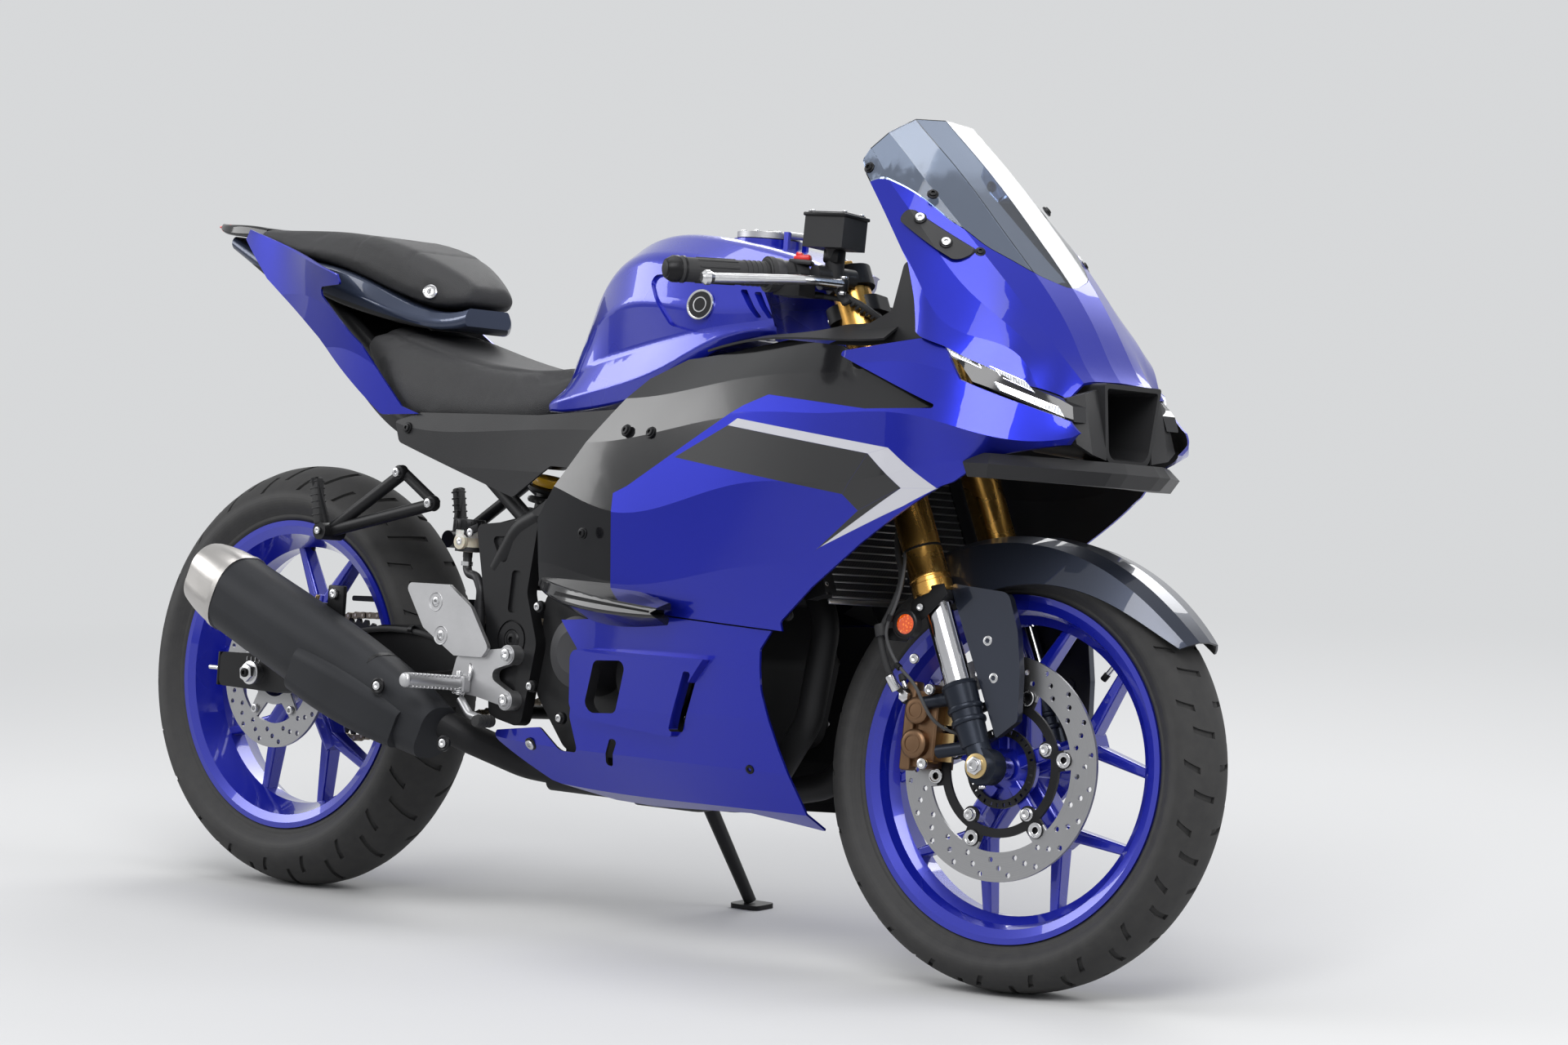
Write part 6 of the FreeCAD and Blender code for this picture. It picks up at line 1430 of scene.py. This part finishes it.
class BIKE_OT_silencer(bpy.types.Operator):
    """Bands, end cap rivets, inner pipe closed by a dark disc of soot and painted shade, and bolts of the
    silencer
    """
    bl_idname = "bike.silencer"
    bl_label = "Silencer fittings"

    def execute(self, context):
        silver, dark = plated_steel(), blackened_steel()
        brushed = bare_metal("Brushed_end_cap", (0.55, 0.53, 0.51), 0.34, 500.0, 0.1)
        # Near-black finish for the disc in the inner pipe: partly soot, partly painted shade.
        soot_and_shade = coated_metal("Sooty_pipe_and_painted_shade", (0.010, 0.009, 0.009), 0.7, 0.1)
        can = Piece("silencer_fittings", "chassis", brushed, dark, silver, soot_and_shade)
        axis, up, out = muffler_axes()
        for share, wide, tall, slot in ((0.895, 51.4, 59.4, 0), (0.27, 47.6, 57.4, 1)):
            rings = [muffler_ring(share + along, wide * reach, tall * reach)
                     for along, reach in ((-0.008, 0.95), (-0.008, 1.0), (0.008, 1.0), (0.008, 0.95))]
            can.add(skin(rings), slot=slot)
        end = MUFFLER_A.lerp(MUFFLER_B, 1.03)
        can.add(hoop([(18.6, -26), (20.5, -26), (20.5, 2), (19.5, 3.4), (18.0, 2.6), (17.4, -26)], 48),
                aim(end, axis), 0)
        # Dark disc closing the inner pipe 24 mm in: its colour is partly soot and partly painted shade standing
        # in for the pipe's depth.
        can.add(drum(17.6, 1.0), aim(end - axis * 24, axis), 3)
        for i in range(6):
            t = math.radians(30 + 60 * i)
            at = end + out * 32 * math.cos(t) + up * 38 * math.sin(t) + axis * 0.2
            can.add(bolt(3.6, 2.4), aim(at, axis), 2)
        for at in ((-300, -239.5, 322), (-192, -207, 250)):
            can.add(hoop([(6, -2), (11.5, -2), (11.5, 1.2), (9.4, 2.2), (6, 1)], 32),
                    aim(at, (0.1, -1, 0.05)), 1)
            can.add(bolt(6.4, 4.0), aim(at, (0.1, -1, 0.05)), 2)
        hang = MUFFLER_A.lerp(MUFFLER_B, 0.55) + up * 57
        can.add(box(34, 8, 46, 2.5), Matrix.Translation(hang + Vector((0, 24, 14))), 1)
        can.add(bolt(7.6, 6.0), aim(hang + Vector((0, 19, 24)), OUT[-1]), 2)
        can.done()
        return {"FINISHED"}


# ------------------------------------------------------------------ engine, radiator, instruments
# Front face of the radiator: where it is at one height, and how far it leans back for each unit of height.
RADIATOR_X, RADIATOR_Z, RADIATOR_LEAN = 468.0, 508.0, 0.4615
FIN_PITCH = 10


def radiator_face(z, y=0, proud=0.0):
    """Matrix of a place on the radiator's front face, leaning back with it."""
    return (Matrix.Translation((RADIATOR_X + proud - (z - RADIATOR_Z) * RADIATOR_LEAN, y, z))
            @ Matrix.Rotation(-math.atan(RADIATOR_LEAN), 4, "Y"))


class BIKE_OT_radiator(bpy.types.Operator):
    """Fins, frame edge and cap of the radiator"""
    bl_idname = "bike.radiator"
    bl_label = "Radiator fins"

    def execute(self, context):
        alloy = bare_metal("Radiator_alloy", (0.42, 0.42, 0.43), 0.4, 500.0, 0.1)
        front = Piece("radiator_fins", "chassis", alloy, blackened_steel(), radiator_core())
        for k in range(19):
            front.add(box(2.4, 318, 2.2, 0.5, 1), radiator_face(502 + FIN_PITCH * k))
        for k in range(18):
            front.add(box(0.8, 316, 7.2, 0.0, 1), radiator_face(507 + FIN_PITCH * k, 0, 0.1), 2)
        for z, slot, tall in ((496, 0, 7.0), (690, 1, 8.0)):
            front.add(box(3, 338, tall, 1.0), radiator_face(z, 0, 0.2), slot)
        for y in (-166, 166):
            front.add(box(3, 9, 196, 1.0), radiator_face(593, y, 0.2), 1)
            front.add(bolt(3.6, 2.0), aim(radiator_face(518, y, 1.0).translation, (0.9, 0, 0.4)), 0)
        front.done()
        return {"FINISHED"}


def radiator_core():
    """Dark corrugated core between the tubes, with painted shade that darkens the troughs of its folds."""
    f = Finish("Radiator_core")
    fold_relief_and_shade = (f.along(CHASSIS, 1) * 2.6).math("SINE") * 0.5 + 0.5
    # Painted shade: the base colour is darker in the troughs of the folds and lighter on their crests, following
    # the bump.
    f.set(Base_Color=f.mix(fold_relief_and_shade, (0.006, 0.006, 0.007, 1.0), (0.05, 0.05, 0.053, 1.0)), Metallic=0.6,
          Roughness=0.5)
    return f.bump(fold_relief_and_shade, 0.5, 0.002).material


ENGINE_BOLTS = ((-92, 340), (-88, 452), (-20, 500), (62, 508), (140, 490), (196, 470), (226, 404), (214, 318),
                (150, 296), (60, 290), (-30, 300))


class BIKE_OT_engine(bpy.types.Operator):
    """Cover screws, oil filler and plain round cover of the engine"""
    bl_idname = "bike.engine"
    bl_label = "Engine fittings"

    def execute(self, context):
        silver, dark = plated_steel(), blackened_steel()
        rubber = soft_rubber("Moulded_rubber")
        parts = Piece("engine_fittings", "chassis", silver, dark, rubber)
        for side in (-1, 1):
            edge = side * engine_side(side)
            for x, z in ENGINE_BOLTS:
                parts.add(drum(9.0, 6.0, 8.2, soft=1.2), aim((x, edge - side * 4, z), OUT[side]), 1)
                parts.add(bolt(5.6, 5.0), aim((x, edge + side * 1.6, z), OUT[side], x), 0)
            parts.add(hoop([(30, -3), (44, -3), (44, 1.5), (42, 3.5), (33, 3.5), (30, 1)], 64),
                      aim((18, edge, 400), OUT[side]), 1)
            parts.add(bolt(9.0, 4.0), aim((18, edge, 400), OUT[side]), 1)
        parts.add(drum(17, 15, 15, soft=3.0, sides=10), aim((150, -engine_side(-1) + 2, 458), OUT[-1]), 2)
        parts.add(box(240, 170, 96, 16.0, 3), Matrix.Translation((40, 0, 268)), 1)
        parts.done()
        return {"FINISHED"}


def engine_side(side):
    """How far out the engine covers reach on one side."""
    low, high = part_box("engine_covers")
    inverse = CHASSIS.inverted()
    reach = [(inverse @ Vector((low[0] if a else high[0], y, (low[2] + high[2]) / 2))).y
             for a in (0, 1) for y in (low[1], high[1])]
    return abs(min(reach) if side < 0 else max(reach)) - 30.0


class BIKE_OT_instruments(bpy.types.Operator):
    """Instrument glass with its bezel, and the buttons beside it"""
    bl_idname = "bike.instruments"
    bl_label = "Instruments"

    def execute(self, context):
        glass = gloss_plastic("Dark_screen_glass", (0.006, 0.008, 0.010), 0.04)
        rough = moulded_plastic("Textured_black_plastic", GREY)
        panel = Piece("instrument_screen", "chassis", rough, glass, plated_steel())
        low, high = Vector((519, 0, 908)), Vector((486, 0, 982))
        up = (high - low).normalized()
        out = up.cross(Vector((0, 1, 0)))
        out = out if out.x < 0 else -out
        middle = (low + high) / 2 + out * 0.6
        turn = Matrix((up, Vector((0, 1, 0)), out)).transposed().to_4x4()
        panel.add(box(74, 112, 3.4, 1.5), Matrix.Translation(middle + out * 1.2) @ turn)
        panel.add(box(62, 100, 2.0, 0.8), Matrix.Translation(middle + out * 2.6) @ turn, 1)
        for y in (-44, 44):
            panel.add(drum(3.0, 2.0, soft=0.5), aim(middle + out * 2.6 - up * 33 + Vector((0, y, 0)), out), 2)
        panel.done()
        return {"FINISHED"}


# ------------------------------------------------------------------ seats
def padded_seat(node, swell, crease, skirt, finish):
    """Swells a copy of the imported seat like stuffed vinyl, sinks its sewn creases and draws its skirt down."""
    source = frame["nodes"][node]
    mesh = source.data.copy()
    mesh.transform(source.matrix_world)
    seat = bpy.data.objects.new(node + "_padded", mesh)
    bpy.context.scene.collection.objects.link(seat)
    voxel = seat.modifiers.new("Even_mesh", "REMESH")
    voxel.mode, voxel.voxel_size = "VOXEL", 0.0045
    apply(seat)
    swell_up(seat, swell)
    to_bike = CHASSIS.inverted()
    for _ in range(2):
        bm = bmesh.new()
        bm.from_mesh(seat.data)
        bmesh.ops.smooth_vert(bm, verts=bm.verts, factor=0.5, use_axis_x=True, use_axis_y=True,
                              use_axis_z=True)
        bm.to_mesh(seat.data)
        bm.free()
    seat.data.update()
    for vert in seat.data.vertices:
        place = to_bike @ vert.co
        depth = crease(place, (to_bike.to_3x3() @ vert.normal).normalized())
        down = to_bike.inverted().to_3x3() @ Vector((0, 0, -skirt(place)))
        vert.co += down - vert.normal * depth * MM
    soft = seat.modifiers.new("Fine", "SUBSURF")
    soft.levels = soft.render_levels = 1
    seat.data.materials.clear()
    seat.data.materials.append(finish)
    for face in seat.data.polygons:
        face.use_smooth = True
    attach(seat, "chassis")
    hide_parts(node)
    return seat


def apply(obj):
    """Makes what the modifiers show the object's own mesh."""
    shown = bpy.data.meshes.new_from_object(obj.evaluated_get(bpy.context.evaluated_depsgraph_get()))
    obj.modifiers.clear()
    obj.data = shown


def swell_up(obj, most):
    """Blows the cover up as cloth with no weight, no point moving further than most millimetres."""
    held = [vert.co - vert.normal * 1.5 * MM for vert in obj.data.vertices]
    for vert, place in zip(obj.data.vertices, held):
        vert.co = place
    cloth = obj.modifiers.new("Cover", "CLOTH")
    cloth.settings.use_pressure = True
    cloth.settings.uniform_pressure_force = 4.0
    cloth.settings.tension_stiffness = cloth.settings.compression_stiffness = 15.0
    cloth.settings.effector_weights.gravity = 0.0
    for frame_number in range(1, 21):
        bpy.context.scene.frame_set(frame_number)
    apply(obj)
    bpy.context.scene.frame_set(1)
    for vert, start in zip(obj.data.vertices, held):
        move = vert.co - start
        if move.length > most * MM:
            vert.co = start + move.normalized() * most * MM
    obj.data.update()


def dip(distance, width):
    """Depth share of a sewn line at this distance from it."""
    return math.exp(-(distance / width) ** 2)


def rider_crease(at, facing):
    """Creases of the rider's seat: a line inside each edge, and a welt across its back."""
    half = 62 + 34 * min(1.0, max(0.0, (-at.x - 124) / 150)) - 16 * min(1.0, max(0.0, (-at.x - 440) / 80))
    top = max(0.0, facing.z)
    side = 2.4 * dip(abs(at.y) - half, 3.2) * min(1.0, top * 1.6)
    side += 0.9 * dip(abs(at.y) - half - 6.5, 2.0) * min(1.0, top * 1.6)
    return side + 1.6 * dip(at.x + 452, 3.0) * top * (abs(at.y) < half)


def rider_skirt(at):
    """How far the lower edge of the rider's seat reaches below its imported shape, down to the side covers."""
    return 32.0 * min(1.0, max(0.0, (788 - at.z) / 45)) * min(1.0, max(0.0, (at.x + 505) / 60))


def pillion_crease(at, facing):
    """Creases of the passenger's seat: either side of the raised band, and round the lock's recess."""
    top = max(0.0, facing.z)
    band = 2.2 * dip(at.x + 566, 3.0) + 2.2 * dip(at.x + 470, 3.0) - 1.6 * (-566 < at.x < -470)
    lock = 5.0 * dip((Vector((at.x, abs(at.y), at.z)) - Vector((-419, 82, 892))).length, 15.0) * (at.y < 0)
    return band * top + lock


class BIKE_OT_seats(bpy.types.Operator):
    """Padded vinyl seats with their creases, and the seat lock"""
    bl_idname = "bike.seats"
    bl_label = "Seats"

    def execute(self, context):
        vinyl = seat_vinyl("Seat_vinyl")
        padded_seat("rider_seat", 5.0, rider_crease, rider_skirt, vinyl)
        padded_seat("pillion_seat", 4.0, pillion_crease, lambda at: 0.0, vinyl)
        silver, dark = plated_steel(), blackened_steel()
        lock = Piece("seat_lock", "chassis", silver, dark)
        at = aim((-419, -80, 892), (0.5, -0.82, 0.27))
        lock.add(hoop([(5, -5), (10.5, -5), (10.5, 1.0), (9.2, 2.0), (7.2, 0.8), (5, 0.8)]), at)
        lock.add(drum(7.0, 5.6, soft=0.6), at @ Matrix.Translation((0, 0, -5)))
        lock.add(box(1.6, 6.0, 0.8, 0.0, 1), at @ Matrix.Translation((0, 0, 0.8)), 1)
        lock.done()
        return {"FINISHED"}


# ------------------------------------------------------------------ stage
def camera_matrix(stage):
    """The camera's place and turn in the row."""
    a, e, r = stage.camera_azimuth, stage.camera_height, stage.camera_roll
    back = Vector((math.sin(a) * math.cos(e), -math.cos(a) * math.cos(e), math.sin(e)))
    right = Vector((math.cos(a), math.sin(a), 0.0))
    up = back.cross(right)
    right, up = math.cos(r) * right + math.sin(r) * up, math.cos(r) * up - math.sin(r) * right
    return Matrix.Translation(stage.camera_place) @ Matrix((right, up, back)).transposed().to_4x4()


def lamp(name, place, target, size, watts, colour=(1.0, 1.0, 1.0)):
    """Soft rectangular lamp aimed at a point."""
    light = bpy.data.lights.new(name, "AREA")
    light.shape, light.size, light.size_y = "RECTANGLE", size[0], size[1]
    light.energy, light.color = watts, colour
    made = bpy.data.objects.new(name, light)
    made.matrix_world = (Matrix.Translation(place)
                         @ (Vector(place) - Vector(target)).to_track_quat("Z", "Y").to_matrix().to_4x4())
    bpy.context.scene.collection.objects.link(made)


class BIKE_OT_stage(bpy.types.Operator):
    """Camera, lamps, pale floor and a white surround"""
    bl_idname = "bike.stage"
    bl_label = "Set the stage"

    def execute(self, context):
        stage = context.scene.bike_stage
        context.scene.view_settings.view_transform = "Standard"
        data = bpy.data.cameras.new("Camera")
        data.sensor_width, data.lens = 36.0, stage.lens
        data.clip_end = 200.0
        camera = bpy.data.objects.new("Camera", data)
        camera.matrix_world = camera_matrix(stage)
        context.scene.collection.objects.link(camera)
        context.scene.camera = camera

        floor = Finish("Pale_floor")
        shade = stage.floor_shade
        floor.set(Base_Color=(shade, shade, shade, 1.0), Roughness=0.9)
        place = floor.place()
        far = floor.node("ShaderNodeVectorMath", {"operation": "LENGTH"}, place, out="Value")
        seen = floor.node("ShaderNodeLightPath", {}, out="Is Camera Ray")
        white = floor.node("ShaderNodeEmission", {}, Color=PALE, Strength=1.0)
        plain_floor = Signal(floor, floor.shader.outputs["BSDF"])
        faded = floor.node("ShaderNodeMixShader", {}, far.above(stage.floor_fade, 2.4) * seen,
                           plain_floor, white)
        output = next(n for n in floor.tree.nodes if n.type == "OUTPUT_MATERIAL")
        floor.tree.links.new(faded.socket, output.inputs["Surface"])
        bm = bmesh.new()
        bmesh.ops.create_grid(bm, x_segments=1, y_segments=1, size=40.0)
        mesh = bpy.data.meshes.new("Floor")
        bm.to_mesh(mesh)
        bm.free()
        mesh.materials.append(floor.material)
        ground = bpy.data.objects.new("Floor", mesh)
        context.scene.collection.objects.link(ground)

        lamp("Key_lamp", (2.6, -3.4, 4.2), (0.0, 0.0, 0.5), (3.6, 2.4), 210.0)
        lamp("Fill_lamp", (-4.2, -2.6, 2.6), (0.0, 0.0, 0.5), (3.0, 2.2), 90.0)
        lamp("Front_lamp", (5.2, 1.8, 2.6), (0.2, 0.0, 0.6), (2.4, 2.0), 90.0)
        lamp("Back_lamp", (-1.5, 4.2, 3.4), (0.0, 0.0, 0.5), (4.0, 2.0), 110.0)
        lamp("Top_lamp", (0.0, 0.0, 4.6), (0.0, 0.0, 0.0), (4.0, 2.0), 80.0)

        world = bpy.data.worlds.new("Studio")
        context.scene.world = world
        world.use_nodes = True
        tree = world.node_tree
        tree.nodes.clear()
        seen = tree.nodes.new("ShaderNodeLightPath")
        white, soft = (tree.nodes.new("ShaderNodeBackground") for _ in range(2))
        white.inputs["Color"].default_value = PALE
        white.inputs["Strength"].default_value = 1.0
        soft.inputs["Color"].default_value = (0.92, 0.95, 1.0, 1.0)
        soft.inputs["Strength"].default_value = 0.42
        either, also = (tree.nodes.new("ShaderNodeMath") for _ in range(2))
        either.operation = also.operation = "MAXIMUM"
        tree.links.new(seen.outputs["Is Camera Ray"], also.inputs[0])
        tree.links.new(seen.outputs["Is Glossy Ray"], also.inputs[1])
        tree.links.new(also.outputs[0], either.inputs[0])
        tree.links.new(seen.outputs["Is Transmission Ray"], either.inputs[1])
        mix = tree.nodes.new("ShaderNodeMixShader")
        output = tree.nodes.new("ShaderNodeOutputWorld")
        tree.links.new(either.outputs[0], mix.inputs["Fac"])
        tree.links.new(soft.outputs[0], mix.inputs[1])
        tree.links.new(white.outputs[0], mix.inputs[2])
        tree.links.new(mix.outputs[0], output.inputs["Surface"])
        return {"FINISHED"}


STEPS = (BIKE_OT_packed, BIKE_OT_tyres, BIKE_OT_wheel_fittings, BIKE_OT_fork_fittings, BIKE_OT_front_brake,
         BIKE_OT_cockpit, BIKE_OT_body_bolts, BIKE_OT_tank_fittings, BIKE_OT_lamps, BIKE_OT_chain,
         BIKE_OT_shock, BIKE_OT_running_gear, BIKE_OT_silencer, BIKE_OT_radiator, BIKE_OT_engine,
         BIKE_OT_instruments, BIKE_OT_seats, BIKE_OT_stage)


class BIKE_PT_panel(bpy.types.Panel):
    """Buttons for every step, and the look's colours"""
    bl_idname = "BIKE_PT_panel"
    bl_label = "Sport bike"
    bl_space_type = "VIEW_3D"
    bl_region_type = "UI"
    bl_category = "Sport Bike"

    def draw(self, context):
        for group in (context.scene.bike_look, context.scene.bike_stage):
            for name in group.__annotations__:
                self.layout.prop(group, name)
        for step in STEPS:
            self.layout.operator(step.bl_idname)


CLASSES = (BikeLook, BikeStage) + STEPS + (BIKE_PT_panel,)


def register():
    """Makes the bike's classes and settings known."""
    for item in CLASSES:
        bpy.utils.register_class(item)
    bpy.types.Scene.bike_look = bpy.props.PointerProperty(type=BikeLook)
    bpy.types.Scene.bike_stage = bpy.props.PointerProperty(type=BikeStage)


def unregister():
    """Takes the bike's settings and classes out again."""
    del bpy.types.Scene.bike_stage
    del bpy.types.Scene.bike_look
    for item in reversed(CLASSES):
        bpy.utils.unregister_class(item)


def main():
    """Dresses the bike step by step."""
    register()
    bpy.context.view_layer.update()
    for step in STEPS:
        group, name = step.bl_idname.split(".")
        getattr(getattr(bpy.ops, group), name)()


if __name__ == "__main__":
    main()
